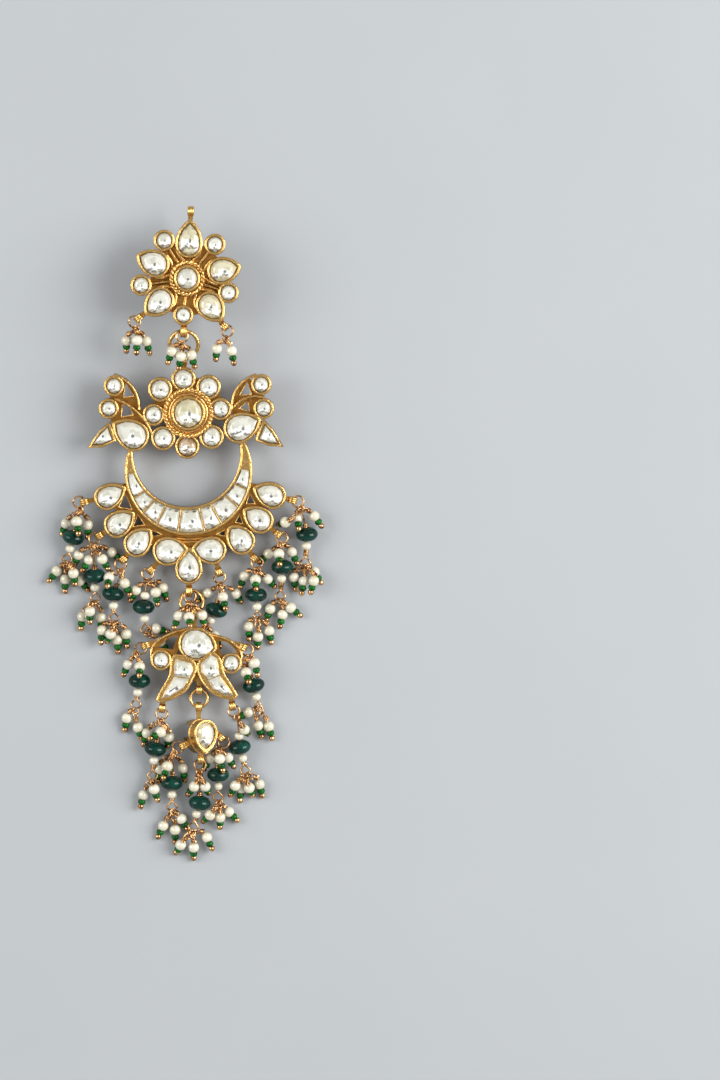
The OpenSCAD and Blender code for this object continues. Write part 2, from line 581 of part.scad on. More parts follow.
// Lotus
module lotus_crown_shape(d = 0) at([lotus_crown[0], lotus_crown[1]], lotus_crown[4])
    pear(lotus_crown[2] - d, lotus_crown[3] * (lotus_crown[2] - d) / lotus_crown[2]);
module lotus_setting() color(gold) on_lotus() {
    difference() {
        union() {
            linear_extrude(setting_h) {
                lotus_crown_shape();
                at(lotus_knob) circle(lotus_knob[2]);
                for (s = lotus_rounds) at([s[0], s[1]]) circle(s[2]);
                for (l = lotus_leaves) polygon(l);
            }
            linear_extrude(plate_t) {
                difference() {
                    for (a = lotus_arches) polygon(a);
                    for (g = lotus_gaps) polygon(g);
                }
                polygon(lotus_bridge);
            }
        }
        pocket() lotus_crown_shape(rim);
        pocket() for (s = lotus_rounds) at([s[0], s[1]]) circle(s[2] - rim);
        pocket() for (p = lotus_petals) polygon(p);
    }
    for (l = lotus_loops) translate([l[0], l[1], loop_z]) strap_loop(l[2], l[3], l[4]);
}
module lotus_crown_stone() on_lotus() at([lotus_crown[0], lotus_crown[1]], lotus_crown[4])
    pear_stone(lotus_crown[2], lotus_crown[3]);
module lotus_petal_stones() on_lotus() for (p = lotus_petals)
    cut_stone(facet_points(inset(p, petal_share)));
module lotus_round_stones() on_lotus() for (s = lotus_rounds) at([s[0], s[1]]) round_stone(s[2]);
module ring_lotus_to_drop() color(gold) translate(drop_ring_at) ring(drop_ring_r, drop_ring_wire);
drop_ring_at = lift(lotus_at + [lotus_loops[1][0], lotus_loops[1][1] - drop_ring_r], lotus_back_z + loop_z);

// Drop
module drop_shape(d = 0) rotate(-90) pear(drop_r - d, drop_tip * (drop_r - d) / drop_r);
module drop_setting() color(gold) on_drop() {
    rotate([0, drop_turn, 0]) difference() {
        up(-drop_depth / 2) linear_extrude(drop_depth) drop_shape();
        up(drop_depth / 2 - setting_h + floor_t) linear_extrude(setting_h) drop_shape(rim);
        up(-drop_depth / 2 - 1) linear_extrude(drop_depth - setting_h + 1) drop_shape(drop_wall);
        translate([-drop_r - 1, drop_arch[0], -drop_depth / 2 - 1])
            cube([drop_r, drop_arch[1], drop_depth - setting_h + 1]);
    }
    for (l = drop_loops) translate([l[0], l[1], l[2]]) strap_loop(l[3], l[4], loop_bore_r);
}
module drop_stone() on_drop() rotate([0, drop_turn, 0]) up(drop_depth / 2 - setting_h)
    rotate(-90) pear_stone(drop_r, drop_tip);

// Bead strings: the places worked out from a string's row and the hole that its ring hangs in
function ring_place(s, hole) = hole + lift(down(s[RING_LEAN], small_ring_r), 0);
function knot_place(s, hole) = lift(ring_place(s, hole) + lift(down(s[KNOT][0], s[KNOT][1]), 0), s[KNOT][2]);
function rondelle_place(s, hole) = let (k = knot_place(s, hole), r = s[RONDELLE])
    lift([k.x, k.y] + down(r[0], r[1]), rondelle_z);
function lower_knot_place(s, hole) = let (r = rondelle_place(s, hole), l = s[LOWER_KNOT])
    lift([r.x, r.y] + down(l[0], l[1]), lower_knot_z);
function pearl_place(knot, t) = lift([knot.x, knot.y] + down(t[LEAN], t[PEARL_REACH]), t[PEARL_Z]);
function tail_way(t) = let (rise = t[BALL_Z] - t[PEARL_Z])
    lift(down(t[TAIL], sqrt(tail_len * tail_len - rise * rise)), rise) / tail_len;

module drilled(place, way, r, h, bore) translate(place) facing(way) rotate_extrude() intersection() {
        union() {
            translate([r - h / 2, 0]) circle(h / 2, $fn = 24);
            translate([0, -h / 2]) square([r - h / 2, h]);
        }
        translate([bore, -h]) square([r, 2 * h]);
    }
module pearl(place, way) translate(place) facing(way) difference() {
    sphere(pearl_r);
    cylinder(r = wire_r + drill_gap, h = 3 * pearl_r, center = true);
}
module pearls(knot, strands) color(pearl_white) for (t = strands) pearl(pearl_place(knot, t), tail_way(t));
module strand_wires(knot, strands) {
    translate(knot) sphere(knot_r, $fn = knot_sides);
    for (t = strands) {
        p = pearl_place(knot, t);
        neck = p - neck_len * tail_way(t);
        ball = p + tail_len * tail_way(t);
        rod(knot, neck, wire_r);
        rod(neck, ball, wire_r);
        translate(ball) sphere(ball_r);
    }
}
module white_bead(place, way) color(pearl_white)
    drilled(place, way, white_r, white_h, wire_r + drill_gap);
module string_beads(s, hole) {
    knot = knot_place(s, hole);
    pearls(knot, s[STRANDS]);
    if (s[RONDELLE]) {
        rondelle = rondelle_place(s, hole);
        lower = lower_knot_place(s, hole);
        way = unit(lower - rondelle) + unit(rondelle - knot);
        color(deep_green) drilled(rondelle, way, rondelle_r, rondelle_h, rondelle_bore_r);
        white_bead(rondelle + white_drop * unit(lower - rondelle), lower - rondelle);
        if (s[WHITE_OVER]) white_bead(rondelle - white_drop * unit(rondelle - knot), rondelle - knot);
        pearls(lower, s[LOWER_STRANDS]);
    }
}
module string_wire(s, hole) color(rose_gold) {
    knot = knot_place(s, hole);
    ring_at = ring_place(s, hole);
    translate(ring_at) ring(small_ring_r, wire_r);
    rod(ring_at + small_ring_r * lift(down(s[KNOT][0], 1), 0), knot, stem_r);
    strand_wires(knot, s[STRANDS]);
    if (s[RONDELLE]) {
        rondelle = rondelle_place(s, hole);
        lower = lower_knot_place(s, hole);
        rod(knot, rondelle, wire_r);
        rod(rondelle, lower, wire_r);
        strand_wires(lower, s[LOWER_STRANDS]);
    }
}
// Holes that the strings hang in
function stud_hole(i) = let (s = stud_loops[i + 1])
    lift(polar(s[1], s[0]), stud_loop_z + (i == 1 ? cluster_lift : 0));
function fan_hole(i) = let (f = fan[i])
    on_moon_at([f[X], f[Y]] + polar(f[LOOP_REACH], f[LOOP_TURN]), loop_z + (i == 4 ? cluster_lift : 0));
function lotus_hole(i) = let (l = lotus_loops[i + 2]) lift(lotus_at + [l[0], l[1]], lotus_back_z + loop_z);
function drop_hole(i) = let (l = drop_loops[[1, 3, 2][i]]) lift(drop_at, drop_z) + [l[0], l[1], l[2]];
module stud_wires() for (i = [0:2]) string_wire(stud_strings[i], stud_hole(i));
module fan_wires(first, last) for (i = [first:last]) string_wire(fan_strings[i], fan_hole(i));
module lotus_wires() for (i = [0:3]) string_wire(lotus_strings[i], lotus_hole(i));
module drop_wires() for (i = [0:2]) string_wire(drop_strings[i], drop_hole(i));

stud_setting();
stud_centre_stone();
stud_round_stones();
ring_stud_to_moon();
for (i = [0:4]) stud_petal_stone(i);
moon_setting();
flower_centre_stone();
flower_ring_stones();
bird_body_stone(bird_bodies[0]);  // bird_body_stone_left
bird_body_stone(bird_bodies[1]);  // bird_body_stone_right
bird_wing_stones();
bird_round_stones();
crescent_stones();
for (i = [0:8]) fan_stone(fan[i]);
ring_moon_to_lotus();
lotus_setting();
lotus_crown_stone();
lotus_petal_stones();
lotus_round_stones();
ring_lotus_to_drop();
drop_setting();
drop_stone();
for (i = [0:2])
    string_beads(stud_strings[i], stud_hole(i));
for (i = [0:8])
    string_beads(fan_strings[i], fan_hole(i));
for (i = [0:3])
    string_beads(lotus_strings[i], lotus_hole(i));
for (i = [0:2])
    string_beads(drop_strings[i], drop_hole(i));
stud_wires();
fan_wires(0, 4);  // fan_wires_left
fan_wires(5, 8);  // fan_wires_right
lotus_wires();
drop_wires();
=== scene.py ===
from math import asin, atan2, cos, pi, radians, sin, sqrt

import bpy
from mathutils import Matrix, Vector


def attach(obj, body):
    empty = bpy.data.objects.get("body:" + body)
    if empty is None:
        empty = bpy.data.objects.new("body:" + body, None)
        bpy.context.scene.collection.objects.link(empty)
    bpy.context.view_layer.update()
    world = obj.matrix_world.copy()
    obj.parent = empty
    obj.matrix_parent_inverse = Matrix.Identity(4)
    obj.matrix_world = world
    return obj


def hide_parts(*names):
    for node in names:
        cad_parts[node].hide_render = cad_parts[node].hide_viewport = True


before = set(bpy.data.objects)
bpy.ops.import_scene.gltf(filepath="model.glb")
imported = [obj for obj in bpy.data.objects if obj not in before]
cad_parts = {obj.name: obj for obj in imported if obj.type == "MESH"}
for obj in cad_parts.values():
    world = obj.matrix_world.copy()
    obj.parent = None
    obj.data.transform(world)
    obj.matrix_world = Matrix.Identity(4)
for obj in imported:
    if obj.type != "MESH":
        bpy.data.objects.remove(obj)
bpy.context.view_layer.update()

# Stud flower: five pointed cups and five round ones of yellow gold on a small plate, with a
# raised cup in the middle. The sheet is cast and filed by hand and polished on its rims; lower
# down the gold is painted deeper and redder, as shade in the recesses between the rims.
STUD_PETALS = [[87, 12.4], [155, 11.6], [220, 11.5], [310, 11.4], [13, 11.5]]  # turn, tip
STUD_ROUNDS = [  # turn, reach, radius
    [121, 9.2, 2.15], [51, 9.1, 2.15], [188, 9.6, 2.15], [341, 9, 2.1], [264, 7.6, 2.05]
]
STUD_BACK = 8
CUP_HEIGHT = 2.4
PETAL_R, PETAL_START = 2.8, 7.1
STUD_CUP_R, CUP_LIFT = 2.7, 0.6
METRES = Matrix.Scale(0.001, 4)
on_stud = Matrix.Translation((0, 0, STUD_BACK))


class Value:
    """One output of a finish's nodes, with arithmetic that adds Math nodes."""

    def __init__(self, finish, socket):
        self.finish, self.socket = finish, socket

    def maths(self, operation, *values):
        return self.finish.node("Math", {"operation": operation}, dict(enumerate(values)))

    def __add__(self, other):
        return self.maths("ADD", self, other)

    def __sub__(self, other):
        return self.maths("SUBTRACT", self, other)

    def __rsub__(self, other):
        return self.maths("SUBTRACT", other, self)

    def __mul__(self, other):
        return self.maths("MULTIPLY", self, other)

    def __abs__(self):
        return self.maths("ABSOLUTE", self)

    __radd__ = __add__

    def step(self, low, high):
        """0 below low, 1 above high, smooth between."""
        return self.finish.node("MapRange", {"interpolation_type": "SMOOTHSTEP"},
                                {"Value": self, "From Min": low, "From Max": high})


class Finish:
    """A material with a Principled surface, whose nodes are added one expression at a time."""

    def __init__(self, name, **look):
        self.material = bpy.data.materials.new(name)
        self.material.use_nodes = True
        self.tree = self.material.node_tree
        self.surface = self.tree.nodes["Principled BSDF"]
        self.show(**look)
        self.place = self.node("TexCoord", out="Object")
        self.mm = self.node("VectorMath", {"operation": "SCALE"}, {0: self.place, "Scale": 1000})

    def feed(self, socket, value):
        if isinstance(value, Value):
            self.tree.links.new(value.socket, socket)
        elif getattr(socket, "type", "") == "RGBA" and len(value) == 3:
            socket.default_value = (*value, 1)
        else:
            socket.default_value = value

    def node(self, kind, settings=None, inputs=None, out=0):
        node = self.tree.nodes.new("ShaderNode" + kind)
        for key, value in (settings or {}).items():
            setattr(node, key, value)
        for key, value in (inputs or {}).items():
            self.feed(node.inputs[key], value)
        return Value(self, node.outputs[out])

    def noise(self, scale, detail=3):
        return self.node("TexNoise", None, {"Vector": self.mm, "Scale": scale, "Detail": detail})

    def mix(self, share, first, second):
        return self.node("Mix", {"data_type": "RGBA"}, {0: share, 6: first, 7: second}, 2)

    def part(self, axis, vector=None):
        return self.node("SeparateXYZ", None, {0: vector or self.place}, axis)

    def bump(self, height, strength, depth):
        return self.node("Bump", None, {"Height": height, "Strength": strength, "Distance": depth})

    def show(self, **look):
        for key, value in look.items():
            self.feed(self.surface.inputs[key.replace("_", " ").title().replace("Ior", "IOR")], value)


def yellow_gold(name, back_z, slope=0, y_at=0):
    """Gold painted with shade: deep brown low down over a plate's back, in the recesses, and bright on the
    rims.
    """
    gold = Finish(name, metallic=1.0)
    height = (gold.part(2) - back_z * 0.001) * (1000 * cos(slope))
    if slope:
        height = height - (gold.part(1) - y_at * 0.001) * (1000 * sin(slope))
    # Painted shade: the gold turns deep brown low down, as shade in the recesses; the rims are also smoother.
    polished_clear_of_painted_shade = (height + gold.noise(0.7) * 1.2).step(1.5, 3.1)
    worn = gold.noise(2.4, 4)
    painted_shade_gold = gold.mix(worn, (0.22, 0.088, 0.011), (0.46, 0.22, 0.043))
    bright = gold.mix(worn, (0.58, 0.33, 0.083), (0.82, 0.55, 0.22))
    dents = gold.noise(1.1, 2) * 0.7 + gold.noise(5.5, 3) * 0.3
    gold.show(base_color=gold.mix(polished_clear_of_painted_shade, painted_shade_gold, bright), roughness=0.31 - polished_clear_of_painted_shade * 0.14 + worn * 0.06,
              normal=gold.bump(dents, 0.8, 0.00022))
    return gold.material


def finished_with(obj, material):
    obj.data.materials.clear()
    obj.data.materials.append(material)


def polar(reach, turn):
    return Vector((reach * cos(radians(turn)), reach * sin(radians(turn)), 0))


def turned(at, turn):
    return Matrix.Translation(at) @ Matrix.Rotation(radians(turn), 4, "Z")


def round_line(r, z, at=(0, 0, 0)):
    return [Vector(at) + polar(r, turn) + Vector((0, 0, z)) for turn in range(0, 360, 9)]


def pear_line(r, tip, inset, z, place):
    """The edge of a pointed cup: round at its place, with its tip along +X."""
    q, end = r - inset, tip * (r - inset) / r
    side = (end * end + q * q) / (2 * q)
    flank = [(end * f, sqrt(side * side - (end * f) ** 2) - side + q)
             for f in (0.12, 0.24, 0.36, 0.48, 0.6, 0.72, 0.83, 0.93)]
    back = [polar(q, a) for a in range(90, 271, 12)]
    points = [(p.x, p.y) for p in back] + [(x, -y) for x, y in flank] + [(end, 0)] + flank[::-1]
    return [place @ Vector((x, y, z)) for x, y in points]


def choose(pieces):
    """Makes these the selected pieces, with the first one active."""
    bpy.ops.object.select_all(action="DESELECT")
    for piece in pieces:
        piece.select_set(True)
    bpy.context.view_layer.objects.active = pieces[0]


def tubes(name, lines, thick, place, sides=3):
    """Round wire along each line of (points, closed), in millimetres, as one mesh."""
    curve = bpy.data.curves.new(name, "CURVE")
    curve.dimensions, curve.bevel_depth, curve.bevel_resolution = "3D", thick, sides
    curve.use_fill_caps = True
    for points, closed in lines:
        run = curve.splines.new("POLY")
        run.points.add(len(points) - 1)
        for spot, point in zip(run.points, points):
            spot.co = (*point, 1)
        run.use_cyclic_u = closed
    wire = bpy.data.objects.new(name, curve)
    bpy.context.collection.objects.link(wire)
    choose([wire])
    bpy.ops.object.convert(target="MESH")
    wire = bpy.context.object
    wire.data.transform(METRES @ place)
    wire.data.update()
    bpy.ops.object.shade_smooth()
    return wire


def joined(name, pieces):
    choose(pieces)
    bpy.ops.object.join()
    pieces[0].name = name
    return pieces[0]


def fitted(piece, slot, *nodes):
    """Puts a finished piece on the earring, in the place of the nodes named."""
    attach(piece, "root")
    if nodes:
        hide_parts(*nodes)
    return piece


def fitted_gold(piece, gold, *nodes):
    finished_with(piece, gold)
    return fitted(piece, "gold_metal", *nodes)


stud_gold = yellow_gold("stud_gold", STUD_BACK)
finished_with(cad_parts["stud_setting"], stud_gold)

# Rolled rims of the stud: the edge of each cup is burnished over its stone, which leaves a soft
# round bead of gold all round. The middle cup stands higher than the others. Solder webs draw
# the petals in to it, and a short rib runs out to each round cup.
RIM_THICK, RIM_INSET = 0.27, 0.2
RIB_START, RIB_LAP, RIB_START_Z, RIB_END_Z, WEB_THICK = 3.8, 0.3, 1.25, 1.45, 0.42
PETAL_WEB = ((5.9, 2.5, 1.9), (5.1, 2.15, 1.8), (4.4, 1.6, 1.7), (3.7, 0.8, 1.6))
rim_z = CUP_HEIGHT - 0.06
stud_lines = []
webs = []
for turn, tip in STUD_PETALS:
    place = turned((0, 0, 0), turn) @ Matrix.Translation((PETAL_START, 0, 0))
    stud_lines.append((pear_line(PETAL_R, tip - PETAL_START, RIM_INSET, rim_z, place), True))
for turn, reach, r in STUD_ROUNDS:
    stud_lines.append((round_line(r - RIM_INSET, rim_z, polar(reach, turn)), True))
    webs.append(([polar(RIB_START, turn) + Vector((0, 0, RIB_START_Z)),
                  polar(reach - r + RIB_LAP, turn) + Vector((0, 0, RIB_END_Z))], False))
stud_lines.append((round_line(STUD_CUP_R - RIM_INSET, rim_z + CUP_LIFT), True))
webs += [([turned((0, 0, 0), turn) @ Vector((x, y * side, z)) for x, y, z in PETAL_WEB], False)
         for turn, _ in STUD_PETALS for side in (-1, 1)]
stud_rims = joined("stud_rims", [tubes("stud_rims", stud_lines, RIM_THICK, on_stud),
                                 tubes("stud_webs", webs, WEB_THICK, on_stud)])
fitted_gold(stud_rims, stud_gold)

# Twisted rope round the stud's middle cup: two gold wires wound round each other and soldered
# down in a ring between the cup and the petals.
ROPE_STRAND, ROPE_THROW, ROPE_STEPS = 0.27, 0.24, 9
ROPE_Z = CUP_HEIGHT + 0.22


def rope(name, r, turns, place):
    """Two strands wound round each other in a ring."""
    lines = []
    for start in (0, 180):
        points = []
        for k in range(turns * ROPE_STEPS):
            turn = 360 / ROPE_STEPS * k + start
            around = 360 * k / (turns * ROPE_STEPS)
            points.append(polar(r + ROPE_THROW * cos(radians(turn)), around)
                          + Vector((0, 0, ROPE_Z + ROPE_THROW * sin(radians(turn)))))
        lines.append((points, True))
    return tubes(name, lines, ROPE_STRAND, place, 2)


stud_rope = rope("stud_rope", 3.28, 12, on_stud)
fitted_gold(stud_rope, stud_gold)

# Glass of the stud: a foiled stone in each cup, cut with a flat table, a ring of facets up to
# it and a steep crown. The hand-laid foil behind crinkles into paler and darker patches; a white
# flash and dark reflections are painted on the glass.
TABLE_STEPS = ((0.26, 0.1), (0.34, 0.07))
# Colours of painted light on the glass: a white highlight, dark reflections, and the gold bezel reflected
# dark round the edge.
WHITE_FLASH, PAINTED_DARK_REFLECTION, PAINTED_GOLD_REFLECTION = (0.88, 0.88, 0.84), (0.075, 0.07, 0.06), (0.30, 0.255, 0.14)


def foiled_glass(name, clear, shade):
    """Clear glass over crinkled foil, with painted light: a white flash, dark reflections and a dark
    reflection of the gold round the edge. The stone's own map runs from -1 to 1 across its face.
    """
    glass = Finish(name, metallic=0.1, coat_weight=1.0, coat_roughness=0.03, roughness=0.2)
    face = glass.node("UVMap", {"uv_map": "face"})
    u, v = glass.part(0, face), glass.part(1, face)
    leaf = glass.node("TexVoronoi", {"feature": "F1"}, {"Vector": glass.mm, "Scale": 0.95}, "Color")
    leaf_tone, leaf_turn = glass.part(0, leaf), glass.part(1, leaf)
    crumple = glass.noise(0.75, 4)
    fine = glass.noise(2.6, 3)
    from_middle = u * u + v * v
    body = glass.mix((leaf_tone * 0.7 + crumple * 0.5).step(0.35, 0.8), shade, clear)
    # Painted highlight and reflection: a white flash across the lower middle of each stone, with a dark
    # reflected patch below it.
    low = (0.0 - v) + leaf_turn * 0.45 + (fine - 0.5) * 0.7 - abs(u) * 0.3
    white = low.step(0.2, 0.27) * (1.0 - low.step(0.66, 0.7))
    body = glass.mix(white * 0.9, body, WHITE_FLASH)
    painted_dark_patch = low.step(0.68, 0.73) * (1.0 - low.step(0.86, 0.98)) * leaf_tone.step(0.25, 0.4)
    body = glass.mix(painted_dark_patch * 0.75, body, PAINTED_DARK_REFLECTION)
    # Painted reflection: a small dark spot below the middle, the camera seen in the glass, with a faint dark
    # streak through it.
    camera_reflection_u, camera_reflection_v = u - 0.1, v + 0.1
    spot = 1.0 - (camera_reflection_u * camera_reflection_u + camera_reflection_v * camera_reflection_v * 0.7 + (fine - 0.5) * 0.03).step(0.006, 0.022)
    painted_dark_streak = 1.0 - abs(u - 0.1 + (fine - 0.5) * 0.3).step(0.015, 0.05)
    painted_dark_streak = painted_dark_streak * (1.0 - abs(v + 0.02).step(0.2, 0.3))
    body = glass.mix(spot * 0.85, glass.mix(painted_dark_streak * 0.35, body, PAINTED_DARK_REFLECTION), PAINTED_DARK_REFLECTION)
    # Painted reflection: the gold bezel seen dark in the glass, as a band round the stone's edge.
    painted_rim_reflection = from_middle.step(0.75, 1.2) * (0.25 + leaf_tone * 0.4)
    body = glass.mix(painted_rim_reflection * 0.6, body, PAINTED_GOLD_REFLECTION)
    glass.show(base_color=body, roughness=0.16 + crumple * 0.12,
               normal=glass.bump(leaf_tone * 0.5 + crumple, 0.35, 0.00022))
    return glass.material


def islands(mesh):
    """The faces of each separate stone in a mesh."""
    parent = list(range(len(mesh.vertices)))

    def root(k):
        while parent[k] != k:
            parent[k] = parent[parent[k]]
            k = parent[k]
        return k

    for edge in mesh.edges:
        a, b = (root(k) for k in edge.vertices)
        parent[a] = b
    groups = {}
    for face in mesh.polygons:
        groups.setdefault(root(face.vertices[0]), []).append(face)
    return groups.values()


def cut_glass(node, material, up=Vector((0, 0, 1)), spread=1.0, lift=0.0):
    """Glass cut from a node's solid: its table gets two more rings of facets. It may be drawn
    out and lifted, to where it fills its thin bezel."""
    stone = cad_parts[node].copy()
    stone.data = stone.data.copy()
    stone.parent = None
    stone.matrix_world = Matrix()
    stone.name = node + "_glass"
    bpy.context.collection.objects.link(stone)
    choose([stone])
    bpy.ops.object.mode_set(mode="EDIT")
    bpy.ops.mesh.select_all(action="SELECT")
    bpy.ops.mesh.remove_doubles(threshold=0.000002)
    bpy.ops.mesh.dissolve_limited(angle_limit=radians(0.8))
    bpy.ops.object.mode_set(mode="OBJECT")
    for group in islands(stone.data):
        top = max(group, key=lambda face: face.center.dot(up) if face.normal.dot(up) > 0.99 else -1)
        for face in group:
            face.select = face.index == top.index
    for thick, rise in TABLE_STEPS:
        bpy.ops.object.mode_set(mode="EDIT")
        bpy.ops.mesh.select_mode(type="FACE")
        bpy.ops.mesh.inset(thickness=thick * 0.001, depth=rise * 0.001, use_individual=True)
        bpy.ops.object.mode_set(mode="OBJECT")
    stone.data.uv_layers.new(name="face")
    face_map = stone.data.uv_layers["face"].data
    for group in islands(stone.data):
        corners = {k for face in group for k in face.vertices}
        spots = [stone.data.vertices[k].co for k in corners]
        low = [min(spot[axis] for spot in spots) for axis in (0, 1)]
        high = [max(spot[axis] for spot in spots) for axis in (0, 1)]
        middle = [(low[axis] + high[axis]) / 2 for axis in (0, 1)]
        for spot in spots:
            spot.xy = [(spot[axis] - middle[axis]) * spread + middle[axis] for axis in (0, 1)]
            spot.z += lift * 0.001
        for face in group:
            for loop in face.loop_indices:
                spot = stone.data.vertices[stone.data.loops[loop].vertex_index].co
                face_map[loop].uv = [2 * (spot[axis] - middle[axis]) / (high[axis] - low[axis]) / spread
                                     for axis in (0, 1)]
    bpy.ops.object.shade_smooth_by_angle(angle=radians(17))
    finished_with(stone, material)
    return fitted(stone, "clear_stone", node)


clear_glass = foiled_glass("clear_glass", (0.63, 0.625, 0.55), (0.50, 0.495, 0.415))
warm_glass = foiled_glass("warm_glass", (0.61, 0.57, 0.41), (0.48, 0.44, 0.28))
for part in ("stud_petal_stone_1", "stud_petal_stone_4", "stud_petal_stone_5"):
    cut_glass(part, warm_glass)
for part in ("stud_petal_stone_2", "stud_petal_stone_3", "stud_centre_stone", "stud_round_stones"):
    cut_glass(part, clear_glass)

# Loops of the stud: a short strap bent into an eye and soldered to the cup, ribbed by rolled
# wires. One is on the tip at the top. The others hang bead strings, the wide one the moon too.
NARROW_BORE, WIDE_BORE = 0.5, 0.8
STUD_LOOPS = [[87, 14, 0.5], [219, 12.9, 0.5], [266, 10.8, 0.8], [308, 12.4, 0.5]]  # turn, reach, bore
LOOP_Z = 1.1
RIB_STEP, RIB_OUT, RIB_WIRE, RIB_DRAWN = 0.42, 0.27, 0.25, 1.08


def hoop(r, wire, segments, sides):
    """A ring of round wire about the origin, in millimetres."""
    bpy.ops.mesh.primitive_torus_add(major_radius=r, minor_radius=wire, major_segments=segments,
                                     minor_segments=sides, location=(0, 0, 0))
    return bpy.context.object


def rib_model(bore):
    """Three rolled wires side by side round an eye, drawn out a little on the outer side."""
    ribs = []
    for side in (-RIB_STEP, 0, RIB_STEP):
        rib = hoop(bore + RIB_OUT, RIB_WIRE, 20, 8)
        rib.data.transform(Matrix.Translation((0, 0, side)))
        for spot in rib.data.vertices:
            if spot.co.x > 0:
                spot.co.x *= RIB_DRAWN
        bpy.ops.object.shade_smooth()
        ribs.append(rib)
    return joined("rib", ribs)


def copies(name, model, places):
    """Copies of a model at their places, each with its own mesh, joined into one piece."""
    made = []
    for place in places:
        copy = model.copy()
        copy.data = model.data.copy()
        copy.data.transform(METRES @ place)
        copy.data.update()
        bpy.context.collection.objects.link(copy)
        made.append(copy)
    return joined(name, made)


ribs = {bore: rib_model(bore) for bore in (NARROW_BORE, WIDE_BORE)}
ring_gold = yellow_gold("ring_gold", -4)


def ribbed_loops(name, loops, frame_at, gold):
    """Ribs on each (place, turn, bore) loop of a setting."""
    sets = []
    for bore, model in ribs.items():
        places = [frame_at @ turned(at, turn) @ Matrix.Rotation(pi / 2, 4, "X")
                  for at, turn, size in loops if size == bore]
        if places:
            sets.append(copies(name, model, places))
    piece = joined(name, sets)
    return fitted_gold(piece, gold)


ribbed_loops("stud_loop_ribs", [(polar(reach, turn) + Vector((0, 0, LOOP_Z)), turn, bore)
                                for turn, reach, bore in STUD_LOOPS], on_stud, ring_gold)

# Large ring between the stud and the moon piece: thick round gold wire, bent into a ring and
# closed with a soldered butt joint.
RING_SINK = 0.33
UPPER_RING_R, UPPER_RING_WIRE, UPPER_RING_SLOPE = 2.95, 0.42, radians(20)
JOINT_AT, JOINT_WIDTH, JOINT_WAIST = 0.9, 0.12, 0.1
upper_ring_reach = Vector((0, UPPER_RING_R * cos(UPPER_RING_SLOPE), UPPER_RING_R * sin(UPPER_RING_SLOPE)))
turn, reach, _ = STUD_LOOPS[2]
stud_ring_at = polar(reach, turn) + Vector((0, 0, STUD_BACK + LOOP_Z - RING_SINK)) - upper_ring_reach


def large_ring(name, at, slope, r, wire, node):
    piece = hoop(r, wire, 72, 16)
    for spot in piece.data.vertices:
        joint = max(0.0, 1 - abs(atan2(spot.co.y, spot.co.x) - JOINT_AT) / JOINT_WIDTH)
        away = Vector((spot.co.x, spot.co.y, 0)).normalized() * r
        spot.co = away + (spot.co - away) * (1 - JOINT_WAIST * joint)
    piece.data.transform(METRES @ Matrix.Translation(at) @ Matrix.Rotation(slope, 4, "X"))
    piece.data.update()
    piece.name = name
    bpy.ops.object.shade_smooth()
    return fitted_gold(piece, ring_gold, node)


large_ring("upper_ring", stud_ring_at, UPPER_RING_SLOPE, UPPER_RING_R, UPPER_RING_WIRE, "ring_stud_to_moon")

# Moon piece: one flat gold openwork plate that carries a flower of cups, two birds with round
# wing cups and bowed gold strips, a crescent of channel-set stones and a fan of nine cups.
FLOWER_ROUNDS = [  # turn, reach, radius
    [98, 7.1, 2.5], [52, 6.8, 2.5], [7, 6.7, 2.25], [314, 6.9, 2.5],
    [268, 7, 2.5], [225, 7.4, 2.5], [183, 7.2, 2.25], [140, 7.6, 2.5]
]
BIRD_BODIES = [[-11.3, -4.8, 3.15, 5.3, 148], [10.4, -3.2, 3.1, 5.1, 23]]  # x, y, radius, tip, turn
BIRD_ROUNDS = [[-15.4, 5.6, 2.1], [-16.5, 0.9, 2.05], [15.1, 5.9, 2.1], [15.6, 0.9, 2.1]]  # x, y, radius
BIRD_ARCHES = [  # x, y, radius, first and last turn
    [-17.1, 1.2, 6.9, -4, 76], [-19.2, -9, 12.6, 22, 72],
    [15.7, 1.4, 6.7, 104, 184], [13.9, -1.9, 5.4, 70, 145]
]
TAILS = [
    [[-17.8, -7.1], [-14.9, -5.8], [-16.3, -1.8], [-18.6, -3.9], [-21, -7.3]],
    [[19.7, -7.1], [17.6, -3.6], [15.5, -1.2], [13.7, -5.7], [16.6, -6.8]]
]
FAN = [  # x, y, radius, tip, turn, and its loop's turn, reach and bore
    [-17, -17.6, 2.6, 4.7, 28, 192, 4.7, 0.5],
    [-14.9, -23.3, 2.7, 4.6, 35, 212, 4.3, 0.5],
    [-10.8, -27.3, 2.75, 4.4, 47, 229, 4.3, 0.5],
    [-4.5, -28.8, 3, 4.5, 4, 230, 5.2, 0.5],
    [0, -32.8, 2.8, 4.9, 90, 270, 4.4, 0.8],
    [4.9, -28.6, 2.9, 4.4, 176, 286, 4.8, 0.5],
    [11, -26.7, 2.8, 4.2, 132, 306, 4.4, 0.5],
    [14.9, -22.4, 2.7, 4.4, 146, 322, 4.6, 0.5],
    [17.5, -17.3, 2.7, 4.6, 158, 347, 4.1, 0.5]
]
MOON_SLOPE = radians(5.5)
MOON_LOOP = Vector((-0.9, 11.2, 0))
FLOWER_CUP_R = 3.5
moon_top = stud_ring_at - upper_ring_reach
moon_origin = moon_top - Vector((MOON_LOOP.x, MOON_LOOP.y * cos(MOON_SLOPE),
                                 MOON_LOOP.y * sin(MOON_SLOPE) + LOOP_Z))
on_moon = Matrix.Translation(moon_origin) @ Matrix.Rotation(MOON_SLOPE, 4, "X")
moon_up = on_moon.to_3x3() @ Vector((0, 0, 1))
moon_gold = yellow_gold("moon_gold", moon_origin.z, MOON_SLOPE, moon_origin.y)
finished_with(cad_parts["moon_setting"], moon_gold)

